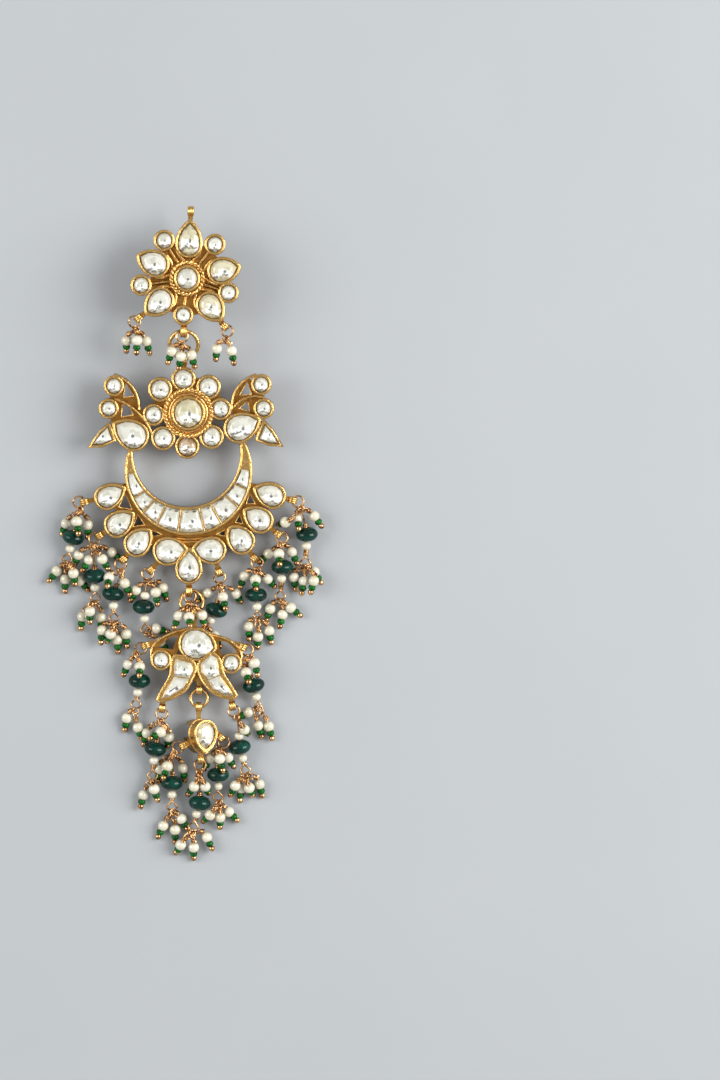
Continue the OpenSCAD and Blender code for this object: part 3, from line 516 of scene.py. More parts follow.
# Rims of the flower, the birds and the fan: rolled gold beads round each cup, as on the stud,
# and round strips for the bowed wing feathers.


def pulled_in(points, inset, z):
    """A many-sided edge moved inwards by a width, corner by corner."""
    moved = []
    for k, point in enumerate(points):
        before, after = Vector(points[k - 1]), Vector(points[(k + 1) % len(points)])
        here = Vector(point)
        first, second = (here - before).normalized(), (after - here).normalized()
        side = Vector((-first.y - second.y, first.x + second.x)).normalized()
        share = max(0.45, side.dot(Vector((-first.y, first.x))))
        spot = here + side * inset / share
        moved.append(Vector((spot.x, spot.y, z)))
    return moved


def arc_line(at, r, first, last, z, steps=18):
    return [Vector((at[0], at[1], z)) + polar(r, first + (last - first) * k / steps)
            for k in range(steps + 1)]


def cup(x, y, r, z=rim_z):
    return (round_line(r - RIM_INSET, z, (x, y, 0)), True)


moon_lines = [cup(*polar(reach, turn).xy, r) for turn, reach, r in FLOWER_ROUNDS]
moon_lines += [cup(0, 0, FLOWER_CUP_R, rim_z + CUP_LIFT)]
moon_lines += [cup(x, y, r) for x, y, r in BIRD_ROUNDS]
moon_lines += [(pear_line(r, tip, RIM_INSET, rim_z, turned((x, y, 0), turn)), True)
               for x, y, r, tip, turn in BIRD_BODIES + [f[:5] for f in FAN]]
moon_lines += [(pulled_in(tail, RIM_INSET, rim_z), True) for tail in TAILS]
moon_lines += [(arc_line(a, a[2], a[3], a[4], rim_z), False) for a in BIRD_ARCHES]
moon_rims = tubes("moon_rims", moon_lines, RIM_THICK, on_moon)
fitted_gold(moon_rims, moon_gold)

# Crescent edges: a rounded gold wall along the outer and inner curve, which meet in two horns
# soldered under the birds' cups, thin gold leaves between the stones, and the solder that
# holds the right horn and the right bird's tail.
MOON_OUTER, MOON_INNER, MOON_MIDDLE = (0, -12.2, 13.2), (-0.4, -8.5, 11.15), Vector((-0.2, -10.4))
CRESCENT_PARTS = [190, 213, 228, 243, 262, 284, 299, 319, 336, 354]
LEFT_HORN, RIGHT_HORN = -7.75, -6.2
WALL_INSET, WALL_THICK, LEAF_THICK, SOLDER_THICK, SOLDER_HEIGHTS = 0.22, 0.31, 0.15, 0.45, (0.9, 1.8)
SOLDER = [[(11.1, -6.8), (11.1, -5.8)], [(13, -4.3), (14.6, -4)], [(14.3, -2.6), (15.3, -2.2)]]


def horn_turn(circle, r, top):
    return 180 / pi * asin((top - circle[1]) / r)


def ray_hit(turn, circle, r):
    way, away = polar(1, turn).xy, MOON_MIDDLE - Vector(circle[:2])
    k = away.dot(way)
    return MOON_MIDDLE + way * (sqrt(k * k - away.dot(away) + r * r) - k)


outer_r, inner_r = MOON_OUTER[2] - WALL_INSET, MOON_INNER[2] + WALL_INSET
crescent_edge = arc_line(MOON_OUTER, outer_r, 180 - horn_turn(MOON_OUTER, outer_r, LEFT_HORN),
                         360 + horn_turn(MOON_OUTER, outer_r, RIGHT_HORN), rim_z, 60)
crescent_edge += arc_line(MOON_INNER, inner_r, 360 + horn_turn(MOON_INNER, inner_r, RIGHT_HORN),
                          180 - horn_turn(MOON_INNER, inner_r, LEFT_HORN), rim_z, 56)[1:-1]
leaves = []
for turn in CRESCENT_PARTS:
    ends = [ray_hit(turn, MOON_OUTER, outer_r), ray_hit(turn, MOON_INNER, inner_r)]
    leaves.append(([Vector((*end, CUP_HEIGHT - 0.02)) for end in ends], False))
solder = [([Vector((*p, z)) for p in ends], False) for ends in SOLDER for z in SOLDER_HEIGHTS]
crescent_rims = joined("crescent_rims", [
    tubes("crescent_rims", [(crescent_edge, True)], WALL_THICK, on_moon),
    tubes("crescent_leaves", leaves, LEAF_THICK, on_moon, 2),
    tubes("moon_solder", solder, SOLDER_THICK, on_moon),
])
fitted_gold(crescent_rims, moon_gold)

# Edges of the openwork: the sawn gaps in the wings and between the crescent and the fan have
# their edges rubbed round, and two bowed strips are soldered under the middle of the crescent.
WING_GAPS = [
    [[-13, 6.2], [-11.2, 3.4], [-13.6, 3.1]],
    [[-13.8, 1.6], [-12.4, 1.6], [-11.3, -0.5], [-14, -1]],
    [[12.2, 6.5], [13.2, 3.7], [10.5, 3.6]],
    [[12.3, 2.4], [12.8, 0.1], [10.4, 0.9]]
]
FAN_GAPS = [
    [[-13.1, -16.9], [-11.7, -20.2], [-14.7, -19.7]], [[-10.6, -21.2], [-9.1, -23.4], [-11.7, -23.8]],
    [[-7.7, -24.4], [-5.6, -25.4], [-7.7, -25.9]], [[7.5, -24.4], [7.7, -25.8], [5.7, -25.4]],
    [[10.6, -21.2], [11.3, -23.2], [9.6, -22.8]], [[12.6, -16.7], [13.9, -19], [11.9, -19]]
]
BOWED_STRIPS = [(14.1, 258, 283, 0.15), (14.7, 263, 278, 0.1)]  # radius, first and last turn, rise
PLATE_THICK, GAP_WIRE = 1.2, 0.24
gap_lines = [([Vector((*p, PLATE_THICK)) for p in gap], True) for gap in WING_GAPS + FAN_GAPS]
gap_lines += [(arc_line(MOON_OUTER, r, first, last, PLATE_THICK + rise), False)
              for r, first, last, rise in BOWED_STRIPS]
gap_edges = tubes("gap_edges", gap_lines, GAP_WIRE, on_moon)
fitted_gold(gap_edges, ring_gold)

# Twisted rope round the flower's middle cup: two wires wound and soldered down as on the stud,
# with a smooth band of gold inside them that rises towards the stone.
BAND_R, BAND_THICK, BAND_FLAT, BAND_CREST, BAND_TILT, BAND_LIFT = 3.98, 0.3, 0.7, 4.0, 0.5, 0.05
flower_rope = rope("flower_rope", 4.83, 18, on_moon)
band = hoop(BAND_R, BAND_THICK, 64, 10)
for spot in band.data.vertices:
    reach = Vector((spot.co.x, spot.co.y)).length
    spot.co.z = spot.co.z * BAND_FLAT + (BAND_CREST - reach) * BAND_TILT
band.data.transform(METRES @ on_moon @ Matrix.Translation((0, 0, CUP_HEIGHT + BAND_LIFT)))
band.data.update()
bpy.ops.object.shade_smooth()
flower_rope = joined("flower_rope", [flower_rope, band])
fitted_gold(flower_rope, moon_gold)

# Glass of the moon piece: the same foiled stones, round in the flower and wings, pointed in the
# birds, tails and fan, and small curved blocks set edge to edge along the crescent.
brown_glass = foiled_glass("brown_glass", (0.48, 0.36, 0.24), (0.28, 0.18, 0.10))
cut_glass("flower_centre_stone", warm_glass, moon_up)
flower_glass = cut_glass("flower_ring_stones", clear_glass, moon_up)
flower_glass.data.materials.append(brown_glass)
for face in min(islands(flower_glass.data), key=lambda group: group[0].center.y):
    face.material_index = 1
for part in ["bird_body_stone_left", "bird_body_stone_right", "bird_wing_stones",
             "bird_round_stones", "crescent_stones"] + [f"fan_stone_{k}" for k in range(1, 10)]:
    cut_glass(part, clear_glass, moon_up)

# Loops of the moon piece: the eye at the top that the large ring passes through, and one eye
# under each fan cup for its bead string.
moon_loops = [(MOON_LOOP + Vector((0, 0, LOOP_Z)), 90, 0.8)]
moon_loops += [(Vector((f[0], f[1], LOOP_Z)) + polar(f[6], f[5]), f[5], f[7]) for f in FAN]
ribbed_loops("moon_loop_ribs", moon_loops, on_moon, ring_gold)

# Lotus: a pointed gold crown cup over two long leaves, each leaf holding two flat stones,
# with a round cup on a bowed strip at each side.
LOTUS_CROWN = [-0.4, 3.6, 3.5, 4.7, -12]  # x, y, radius, tip, turn
LOTUS_ROUNDS = [[-7.5, 0.3, 2.15], [7.1, -0.4, 2.15]]  # x, y, radius
LOTUS_LEAVES = [
    [[-4.6, 1.4], [-0.9, 0], [-0.3, -1.5], [-1.1, -3.6], [-2.4, -6], [-5.7, -7.8], [-8.3, -8.2],
        [-7.2, -6], [-5.4, -3.1], [-5.2, -0.2]],
    [[0.3, -0.4], [3, 1.9], [4.6, 0.6], [5.1, -2.3], [6.8, -5], [8.3, -7.4], [5.5, -7.5],
        [3, -6.2], [1.1, -4], [0.3, -1.9]]
]
LOTUS_ARCHES = [
    [[-1.1, 6.9], [-3.7, 6.5], [-6.1, 5.5], [-8.3, 4.3], [-9.6, 2.6], [-9.5, 0.6]],
    [[0.7, 7], [2.8, 5.7], [4.5, 5.1], [6.6, 4.5], [8.5, 2.9], [9.3, 1.2], [8.8, -0.8]]
]
LOTUS_PETALS = [
    [[-4.6, -1], [-4.5, -2.9], [-1.7, -3.3], [-1, -1.7], [-1.4, -0.5], [-4.3, 0.3]],
    [[-6.4, -6], [-7, -7.4], [-5.6, -7.1], [-3, -5.5], [-1.9, -3.8], [-4.7, -3.4]],
    [[1, -2], [2.4, -3.5], [4.4, -2.6], [4, 0.4], [2.8, 1.1], [1, -0.5]],
    [[3.5, -5.6], [5.6, -6.8], [7.2, -6.8], [5.8, -4.7], [4.7, -3.1], [2.5, -4]]
]
LOTUS_AT, LOTUS_BACK = Vector((1.9, -79.2, 0)), 2.3
LOTUS_RIM_THICK, STRIP_THICK, STRIP_Z, SPLIT_THICK, SPLIT_OUT = 0.24, 0.32, 1.25, 0.14, 0.1
LOTUS_LOOPS = [  # x, y, turn, bore
    [-0.6, 10.2, 90, 0.8], [0.4, -5.9, 270, 0.5], [-10.7, 3.3, 200, 0.5],
    [9.4, 3, 335, 0.5], [-7.3, -9.7, 262, 0.5], [7.3, -9.2, 280, 0.5]
]
on_lotus = Matrix.Translation(LOTUS_AT + Vector((0, 0, LOTUS_BACK)))
lotus_gold = yellow_gold("lotus_gold", LOTUS_BACK)
finished_with(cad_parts["lotus_setting"], lotus_gold)


def softened(points, closed, times=2):
    """A hand-bent line through a few points: each corner is cut a number of times."""
    for _ in range(times):
        pairs = list(zip(points, points[1:] + points[:1] if closed else points[1:]))
        cut = [p for a, b in pairs for p in (a * 0.78 + b * 0.22, a * 0.22 + b * 0.78)]
        points = cut if closed else [points[0], *cut[1:-1], points[-1]]
    return points


x, y, r, tip, turn = LOTUS_CROWN
lotus_lines = [(pear_line(r, tip, RIM_INSET, rim_z, turned((x, y, 0), turn)), True)]
lotus_lines += [cup(x, y, r) for x, y, r in LOTUS_ROUNDS]
lotus_lines += [(softened(pulled_in(leaf, RIM_INSET, rim_z), True, 1), True) for leaf in LOTUS_LEAVES]
lotus_strips = [(softened([Vector((*p, STRIP_Z)) for p in arch], False), False) for arch in LOTUS_ARCHES]
lotus_splits = [(softened(pulled_in(p, -SPLIT_OUT, CUP_HEIGHT), True, 1), True) for p in LOTUS_PETALS]
lotus_rims = joined("lotus_rims", [
    tubes("lotus_rims", lotus_lines, LOTUS_RIM_THICK, on_lotus),
    tubes("lotus_strips", lotus_strips, STRIP_THICK, on_lotus),
    tubes("lotus_splits", lotus_splits, SPLIT_THICK, on_lotus, 2),
])
fitted_gold(lotus_rims, ring_gold)
for part in ("lotus_crown_stone", "lotus_round_stones"):
    cut_glass(part, clear_glass)
cut_glass("lotus_petal_stones", clear_glass, spread=1.2, lift=0.3)
ribbed_loops("lotus_loop_ribs", [(Vector((x, y, LOOP_Z)), turn, bore) for x, y, turn, bore in LOTUS_LOOPS],
             on_lotus, ring_gold)

# Rings above and below the lotus: the same round wire as the upper ring, in two smaller sizes,
# linking the lowest fan cup to the lotus and the lotus to the drop.
MIDDLE_RING_R, MIDDLE_RING_WIRE, LOWER_RING_R, LOWER_RING_WIRE = 2.4, 0.35, 1.8, 0.3
moon_foot = on_moon @ Vector((FAN[4][0], FAN[4][1] - FAN[4][6], LOOP_Z))
lotus_head = LOTUS_AT + Vector((LOTUS_LOOPS[0][0], LOTUS_LOOPS[0][1], LOTUS_BACK + LOOP_Z))
middle_ring_at = (moon_foot + lotus_head - Vector((0, 0, RING_SINK))) / 2
middle_slope = -asin((lotus_head.z - moon_foot.z + RING_SINK) / 2 / MIDDLE_RING_R)
large_ring("middle_ring", middle_ring_at, middle_slope, MIDDLE_RING_R, MIDDLE_RING_WIRE, "ring_moon_to_lotus")
x, y = LOTUS_LOOPS[1][:2]
lower_ring_at = LOTUS_AT + Vector((x, y - LOWER_RING_R, LOTUS_BACK + LOOP_Z))
large_ring("lower_ring", lower_ring_at, 0, LOWER_RING_R, LOWER_RING_WIRE, "ring_lotus_to_drop")

# Drop: a deep pointed cup that lies on its side arch, so its yellowish stone faces up and a
# little to the side. Its eye hangs in the lower ring and three more eyes carry bead strings.
DROP_AT, DROP_R, DROP_TIP, DROP_DEPTH, DROP_TURN = Vector((2.5, -94, 0)), 2.75, 4.3, 4.8, radians(32)
DROP_LOOPS = [[-0.3, 5.3, 0, 90], [-3.4, -2.7, 0, 205], [4.3, -1, -0.2, 310], [0.2, -5.6, 0, 270]]
DROP_Z = DROP_R * sin(DROP_TURN) + DROP_DEPTH / 2 * cos(DROP_TURN) + 0.02
at_drop = Matrix.Translation(DROP_AT + Vector((0, 0, DROP_Z)))
on_drop = at_drop @ Matrix.Rotation(DROP_TURN, 4, "Y")
drop_gold = yellow_gold("drop_gold", 1.0)
finished_with(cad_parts["drop_setting"], drop_gold)
EDGE_Z, SEAM_Z, SEAM_INSET, SEAM_THICK = DROP_DEPTH / 2 - 0.05, DROP_DEPTH / 2 - 2.2, 0.02, 0.2
edge = pear_line(DROP_R, DROP_TIP, RIM_INSET, EDGE_Z, turned((0, 0, 0), -90))
seam = pear_line(DROP_R, DROP_TIP, SEAM_INSET, SEAM_Z, turned((0, 0, 0), -90))
drop_rim = joined("drop_rim", [tubes("drop_rim", [(edge, True)], RIM_THICK, on_drop),
                               tubes("drop_seam", [(seam, True)], SEAM_THICK, on_drop)])
fitted_gold(drop_rim, drop_gold)
cut_glass("drop_stone", warm_glass, on_drop.to_3x3() @ Vector((0, 0, 1)))
ribbed_loops("drop_loop_ribs", [(Vector((x, y, z)), turn, NARROW_BORE) for x, y, z, turn in DROP_LOOPS],
             at_drop, ring_gold)

# Bead strings: each hangs by a small ring in an eye. Strands fall from its knot, each with a
# pearl, a green seed bead and a melted ball at the wire's end. Most go on through a green
# rondelle and one or two white beads to a lower knot with more strands.
STUD_STRINGS = [
    [-50, [10, 1.7, 8.6],
        [[-42, 2.9, 8.1, -3, 6.7], [7, 2.2, 9.6, -3, 9.2], [42, 3.1, 8.2, 17, 7.7]]],
    [-15, [-10, 1.7, 9.9],
        [[-52, 2.3, 10.3, -20, 9.5], [2, 2.5, 10.7, -10, 10], [45, 3.1, 10, 16, 9.4]]],
    [30, [-10, 1.9, 8.7],
        [[-47, 2.5, 8.5, -6, 7.2], [29, 2.5, 8.3, 11, 8.1]]]
]
FAN_STRINGS = [
    [-87, [10, 1.8, 4.3],
        [[26, 3.3, 2.6, 0, 2.1], [-18, 2.4, 5, 9, 5.4], [-49, 4.1, 1.7, -22, 0.7]],
        [-16, 5.8], [-16, 5.5],
        [[-49, 2.6, 1.1, -38, 1.2], [37, 2.7, 3.7, 7, 2.6], [-3, 3.4, 1.1, -2, 0.7],
            [38, 4.7, 1.3, 40, 0.7]]],
    [-58, [-5, 1.6, 4.8],
        [[70, 3.8, 1.5, 50, 1.2], [32, 3.2, 3.8, 32, 2.8], [-20, 3.1, 2.8, -33, 3],
            [-60, 3.7, 2.5, -26, 1.1]],
        [1, 6.2], [1, 5.4],
        [[-28, 2.2, 3.9, -1, 2.7], [19, 3.5, 1.1, 0, 0.7], [-41, 4.1, 1.1, -9, 0.7]]],
    [-31, [11, 1.6, 3.3],
        [[14, 2.5, 3.7, 24, 3.5], [-65, 2.9, 4, -8, 5.8]],
        [-22, 5], [2, 5.9],
        [[45, 3.5, 1.4, 4, 1], [9, 3.7, 1.1, 5, 0.8], [-15, 2.5, 3.5, -27, 1.7], [-56, 3, 2.5, -5, 2.4]]],
    [-42, [-3, 1.8, 3.2],
        [[72, 3.4, 1.3, 18, 0.7], [42, 2.7, 2.9, 9, 2.5], [-56, 2.8, 2.6, -28, 1.6]],
        [-8, 5.1], [5, 5.6],
        [[118, 2.3, 1.1, 75, 0.7], [60, 3.4, 1.1, 40, 0.8]],
        True],
    [10, [-7, 1.6, 4],
        [[-42, 3.2, 4.8, -20, 4.5], [2, 2.6, 6, 10, 7.8], [52, 3.5, 4.8, 12, 3.5]]],
    [6, [5, 1.7, 3.3],
        [[-59, 3.1, 1.3, -50, 1.2], [14, 2.4, 3.9, 13, 4.5], [63, 3.6, 2.3, 31, 0.7]],
        [-9, 5.1], [-30, 4.1],
        [[-40, 2.4, 1.1, -30, 0.7], [40, 2.4, 1.1, 30, 0.7]]],
    [30, [4, 1.7, 2.9],
        [[-68, 3, 1.9, -23, 1.4], [-14, 1.9, 4.2, 4, 5.9], [50, 2.6, 2.7, 44, 1.4]],
        [-4, 5], [3, 4.9],
        [[-45, 2.5, 1.1, 1, 1.4], [2, 3.8, 1.9, -4, 0.7], [43, 3.5, 1.1, 12, 0.7]]],
    [44, [-14, 1.5, 3.7],
        [[-53, 3.1, 2, -48, 1.9], [-8, 1.9, 5.2, 5, 6.5], [57, 2.8, 2.4, 25, 2.5]],
        [5, 4.6], [-4, 7],
        [[-50, 2.7, 1.2, -18, 0.7], [10, 3, 1.1, -13, 1.2], [56, 2.7, 1.6, 50, 1.2]]],
    [75, [28, 1.8, 4.4],
        [[-52, 4.4, 3.8, -70, 1.8], [-28, 2.1, 3, 9, 4.2], [60, 2.9, 2.7, 37, 2.3]],
        [11, 5.3], [-3, 6.8],
        [[-48, 3.2, 1.1, 8, 0.7], [-5, 3, 2.1, -10, 2.7], [32, 3.4, 3.5, -15, 2.9], [61, 2.2, 1.8, 31, 1.8]]]
]
LOTUS_STRINGS = [
    [-59, [-42, 1.5, 3.7],
        [[17, 2.8, 4.5, 0, 6.3], [-36, 2.8, 2.8, -26, 1.8]],
        [7, 5.7], [-9, 5.9],
        [[-42, 2.6, 1.2, -11, 0.7], [8, 3.9, 1.4, 18, 0.7]]],
    [57, [-6, 2.1, 3.6],
        [[70, 1.8, 4.2, 15, 4], [-1, 2.6, 4.2, 18, 5.8]],
        [16, 5.5], [12, 4.5],
        [[-59, 2.4, 1.3, -62, 0.7], [27, 4.7, 1.1, 16, 1], [-1, 4, 1.5, 18, 0.7]]],
    [-5, [-5, 1.6, 3.7],
        [[0, 2.2, 4.7, -60, 5.2], [26, 3.6, 2.7, -7, 1.1], [-50, 3.9, 1.7, -17, 1]],
        [-12, 5.9], [-6, 6.5],
        [[15, 1.9, 3.2, 16, 2.3], [-30, 3.6, 1.4, -14, 1.2]]],
    [15, [29, 1.6, 4.3],
        [[31, 2.8, 4.2, 33, 2]],
        [4, 6.1], [13, 5.9],
        [[53, 3.4, 1.2, 14, 0.7], [13, 2.8, 2.7, 24, 0.9], [-21, 3.1, 1.1, -5, 0.7], [-45, 3.2, 3, -28, 1.8]],
        True]
]
DROP_STRINGS = [
    [-75, [-35, 1.6, 3.6],
        [[29, 3.7, 1.1, 9, 0.8], [-26, 3, 4.2, -18, 4.8], [-42, 4.6, 1.4, -5, 1.2]],
        [-4, 6.2], [0, 5.9],
        [[50, 2.5, 1.2, 30, 0.7], [9, 4, 1.1, 0, 0.7], [-31, 3.6, 1.1, -25, 0.7]]],
    [-10, [-8, 1.6, 3.5],
        [[25, 3.1, 4.1, 22, 2.1], [-20, 3, 4.2, -37, 2.8]],
        [1, 6.3], [-15, 6.1],
        [[66, 3.3, 1.2, 24, 1.4], [5, 3.4, 1.8, -1, 0.7], [-40, 3.7, 2.3, -30, 0.7]]],
    [30, [-42, 2.1, 3.8],
        [[54, 2.8, 3.3, 32, 2], [19, 1.9, 5.3, 15, 5], [-39, 2.4, 2.5, -30, 2.2]],
        [2, 5.2], [0, 5.6],
        [[46, 3.1, 1.4, 44, 0.9], [8, 3.3, 2.5, -2, 1.1], [-31, 3.2, 3.2, -45, 1.6]]]
]
SMALL_RING_R, TAIL_LENGTH, NECK, SEED_REACH = 1.2, 2.5, 1.35, 1.5
RONDELLE_Z, LOWER_KNOT_Z, WHITE_DROP, WIDE_EYE_LIFT = 2.35, 1.9, 2.45, 0.45


def down(lean, reach):
    return Vector((reach * sin(radians(lean)), -reach * cos(radians(lean)), 0))


def with_z(point, z):
    return Vector((point.x, point.y, z))


class Strand:
    """One wire end. Its row is its pearl's lean, reach and height, its tail's lean and its
    ball's height."""

    def __init__(self, knot, row):
        lean, reach, pearl_z, tail, ball_z = row
        rise = ball_z - pearl_z
        self.way = (down(tail, sqrt(TAIL_LENGTH ** 2 - rise ** 2)) + Vector((0, 0, rise))) / TAIL_LENGTH
        self.knot = knot
        self.pearl = with_z(knot + down(lean, reach), pearl_z)
        self.neck = self.pearl - NECK * self.way
        self.seed = self.pearl + SEED_REACH * self.way
        self.ball = self.pearl + TAIL_LENGTH * self.way


class BeadString:
    """One string. Its row is its ring's lean, its knot's lean, reach and height, and its
    strands. If it goes on, its rondelle's lean and reach, its lower knot's, the strands there
    and True for a second white bead follow."""

    def __init__(self, node, row, hole):
        self.node, lean, knot, strands = node, *row[:3]
        self.ring = hole + down(lean, SMALL_RING_R)
        self.knots = [with_z(self.ring + down(*knot[:2]), knot[2])]
        self.strands = [Strand(self.knots[0], s) for s in strands]
        self.rondelles, self.whites, self.through = [], [], []
        if len(row) > 3:
            to_bead, to_foot, lower, *white_over = row[3:]
            bead = with_z(self.knots[0] + down(*to_bead), RONDELLE_Z)
            foot = with_z(bead + down(*to_foot), LOWER_KNOT_Z)
            into, out = (bead - self.knots[0]).normalized(), (foot - bead).normalized()
            self.rondelles = [(bead, into + out)]
            self.whites = [(bead + WHITE_DROP * out, out)]
            if white_over:
                self.whites.append((bead - WHITE_DROP * into, into))
            self.through = [self.knots[0], bead, foot]
            self.knots.append(foot)
            self.strands += [Strand(foot, s) for s in lower]


def stud_hole(k):
    turn, reach, _ = STUD_LOOPS[k + 1]
    return on_stud @ (polar(reach, turn) + Vector((0, 0, LOOP_Z + (WIDE_EYE_LIFT if k == 1 else 0))))


def fan_hole(k):
    f = FAN[k]
    return on_moon @ (Vector((f[0], f[1], LOOP_Z + (WIDE_EYE_LIFT if k == 4 else 0))) + polar(f[6], f[5]))


def lotus_hole(k):
    x, y = LOTUS_LOOPS[k + 2][:2]
    return on_lotus @ Vector((x, y, LOOP_Z))


def drop_hole(k):
    return at_drop @ Vector(DROP_LOOPS[(1, 3, 2)[k]][:3])


strings = {}
for name, rows, hole in (("stud", STUD_STRINGS, stud_hole), ("fan", FAN_STRINGS, fan_hole),
                         ("lotus", LOTUS_STRINGS, lotus_hole), ("drop", DROP_STRINGS, drop_hole)):
    strings[name] = [BeadString(f"{name}_string_{k + 1}", row, hole(k)) for k, row in enumerate(rows)]

# Pearls: small cream pearls, drilled through, a little off round and each of its own tint. The
# white beads over and under a rondelle are the same pearls, button shaped.
PEARL_R, WHITE_R, WHITE_FLAT, DIMPLE, DIMPLE_REACH = 1.13, 1.0, 0.9, 0.12, 0.38


def along(at, way, spin=0.0):
    """A place at a point with its Z along a way."""
    turn = Vector(way).normalized().to_track_quat("Z", "Y").to_matrix().to_4x4()
    return Matrix.Translation(at) @ turn @ Matrix.Rotation(spin, 4, "Z")


def ball_model(name, segments, rings, r, flat, dimple):
    """A round bead on Z, pressed in round its hole at both ends."""
    bpy.ops.mesh.primitive_uv_sphere_add(segments=segments, ring_count=rings, radius=r, location=(0, 0, 0))
    bead = bpy.context.object
    bead.name = name
    for spot in bead.data.vertices:
        reach = Vector((spot.co.x, spot.co.y)).length / r
        spot.co.z *= flat * (1 - dimple * max(0.0, 1 - reach / DIMPLE_REACH))
    bpy.ops.object.shade_smooth()
    return bead


pearl_skin = Finish("pearl_skin", coat_weight=1.0, coat_roughness=0.1, coat_ior=1.7)
tint = pearl_skin.noise(0.32, 1)
cloud = pearl_skin.noise(1.3, 2)
cream = pearl_skin.mix(tint.step(0.35, 0.65), (0.67, 0.63, 0.49), (0.61, 0.56, 0.395))
cream = pearl_skin.mix(cloud.step(0.42, 0.7) * 0.4, cream, (0.72, 0.69, 0.58))
# Painted shade: each pearl turns dark brown towards its two hole ends, where it meets the beads and wire
# beside it.
painted_shade_by_hole = abs(pearl_skin.part(1, pearl_skin.node("UVMap", {"uv_map": "UVMap"})) - 0.5).step(0.2, 0.45)
pearl_skin.show(base_color=pearl_skin.mix(painted_shade_by_hole * 0.62, cream, (0.27, 0.19, 0.085)),
                roughness=0.2 + cloud * 0.1, normal=pearl_skin.bump(cloud, 0.12, 0.0002))
pearl_model = ball_model("pearl", 28, 18, PEARL_R, 1.0, DIMPLE)
finished_with(pearl_model, pearl_skin.material)
white_model = ball_model("white", 24, 16, WHITE_R, WHITE_FLAT, DIMPLE)
finished_with(white_model, pearl_skin.material)

# Green glass: a thick dark green rondelle, pressed and fire polished, and small bright green
# seed beads, cut from drawn tube and tumbled round.
RONDELLE_R, RONDELLE_FLAT, RONDELLE_HOLE = 2.3, 0.67, 0.36
SEED_R, SEED_WALL, SEED_LENGTH = 0.46, 0.34, 1.45
dark_green = Finish("dark_green_glass", coat_weight=0.8, coat_roughness=0.03, coat_ior=1.4,
                    specular_ior_level=0.0)
swirl = dark_green.noise(0.45, 3)
teal = dark_green.mix(swirl.step(0.3, 0.75), (0.0002, 0.013, 0.0085), (0.0006, 0.047, 0.031))
dark_green.show(base_color=teal, roughness=0.12 + swirl * 0.1,
                normal=dark_green.bump(dark_green.noise(0.6, 2), 0.08, 0.0003))
bright_green = Finish("bright_green_glass", coat_weight=0.6, coat_roughness=0.04, coat_ior=1.42,
                      specular_ior_level=0.0)
depth = bright_green.noise(1.1, 2)
grass = bright_green.mix(depth.step(0.35, 0.65), (0.0, 0.042, 0.002), (0.0008, 0.125, 0.007))
bright_green.show(base_color=grass, roughness=0.14 + depth * 0.1)
rondelle_model = ball_model("rondelle", 36, 22, RONDELLE_R, RONDELLE_FLAT, 0.0)
bpy.ops.object.mode_set(mode="EDIT")
bpy.ops.mesh.select_mode(type="VERT")
bpy.ops.mesh.select_all(action="DESELECT")
bpy.ops.object.mode_set(mode="OBJECT")
for spot in rondelle_model.data.vertices:
    spot.select = Vector((spot.co.x, spot.co.y)).length < RONDELLE_HOLE
bpy.ops.object.mode_set(mode="EDIT")
bpy.ops.mesh.delete(type="VERT")
bpy.ops.mesh.select_non_manifold(extend=False)
bpy.ops.mesh.bridge_edge_loops()
bpy.ops.object.mode_set(mode="OBJECT")
finished_with(rondelle_model, dark_green.material)
seed_model = hoop(SEED_R, SEED_WALL, 18, 10)
for spot in seed_model.data.vertices:
    spot.co.z *= SEED_LENGTH
bpy.ops.object.shade_smooth()
finished_with(seed_model, bright_green.material)

# The strings' beads: pearls and white beads of each string are one piece, its green glass
# another, threaded where the strands lie.
for string in [s for group in strings.values() for s in group]:
    sets = [copies("pearls", pearl_model, [
        along(s.pearl, s.way, 1.3 * k) @ Matrix.Diagonal((1 + 0.03 * sin(7 * k + s.pearl.x),
                                                           1 - 0.03 * sin(5 * k + s.pearl.y), 1, 1))
        for k, s in enumerate(string.strands)])]
    if string.whites:
        sets.append(copies("whites", white_model, [along(at, way) for at, way in string.whites]))
    fitted(joined(string.node + "_pearls", sets), "pearl_bead", string.node)
    sets = [copies("seeds", seed_model, [along(s.seed, s.way, 0.4 * k)
                                         for k, s in enumerate(string.strands)])]
    if string.rondelles:
        sets.append(copies("rondelle", rondelle_model, [along(at, way) for at, way in string.rondelles]))
    fitted(joined(string.node + "_greens", sets), "green_glass", string.node)

# Wirework of the strings: soft reddish gold wire. Each strand is a wire melted to a ball below
# its beads and wound round its own neck above them. It hangs in a row of small bent eyes, and
# under each rondelle the wire is bent to an open drop-shaped loop.
WIRE, COIL_WIRE, COIL_R, EYE_R, BALL_R = 0.18, 0.16, 0.42, 0.58, 0.62
EYE_WIRE, RING_WIRE, BALL_DROP, EYE_LONG = 0.15, 0.19, 1.12, 1.12
COIL_LENGTH, COIL_STEP, EYE_STEP, LOOP_LENGTH, LOOP_HALF = 0.95, 0.26, 0.8, 2.3, 1.05
COLLAR_START, COLLAR_END, WHITE_FACE, EYE_TURNS = 2.4, 1.4, 0.85, (-50, 28, 70, -20, 48)
rose_gold = Finish("rose_gold", metallic=1.0)
heat = rose_gold.noise(1.2, 3)
rose_gold.show(base_color=rose_gold.mix(heat.step(0.3, 0.7), (0.20, 0.085, 0.026), (0.84, 0.51, 0.235)),
               roughness=0.14 + heat * 0.12, normal=rose_gold.bump(rose_gold.noise(3.0, 3), 0.25, 0.0001))
ball_end = ball_model("ball", 16, 10, BALL_R, 1.0, 0.0)
for spot in ball_end.data.vertices:
    if spot.co.z < 0:
        spot.co.z *= BALL_DROP
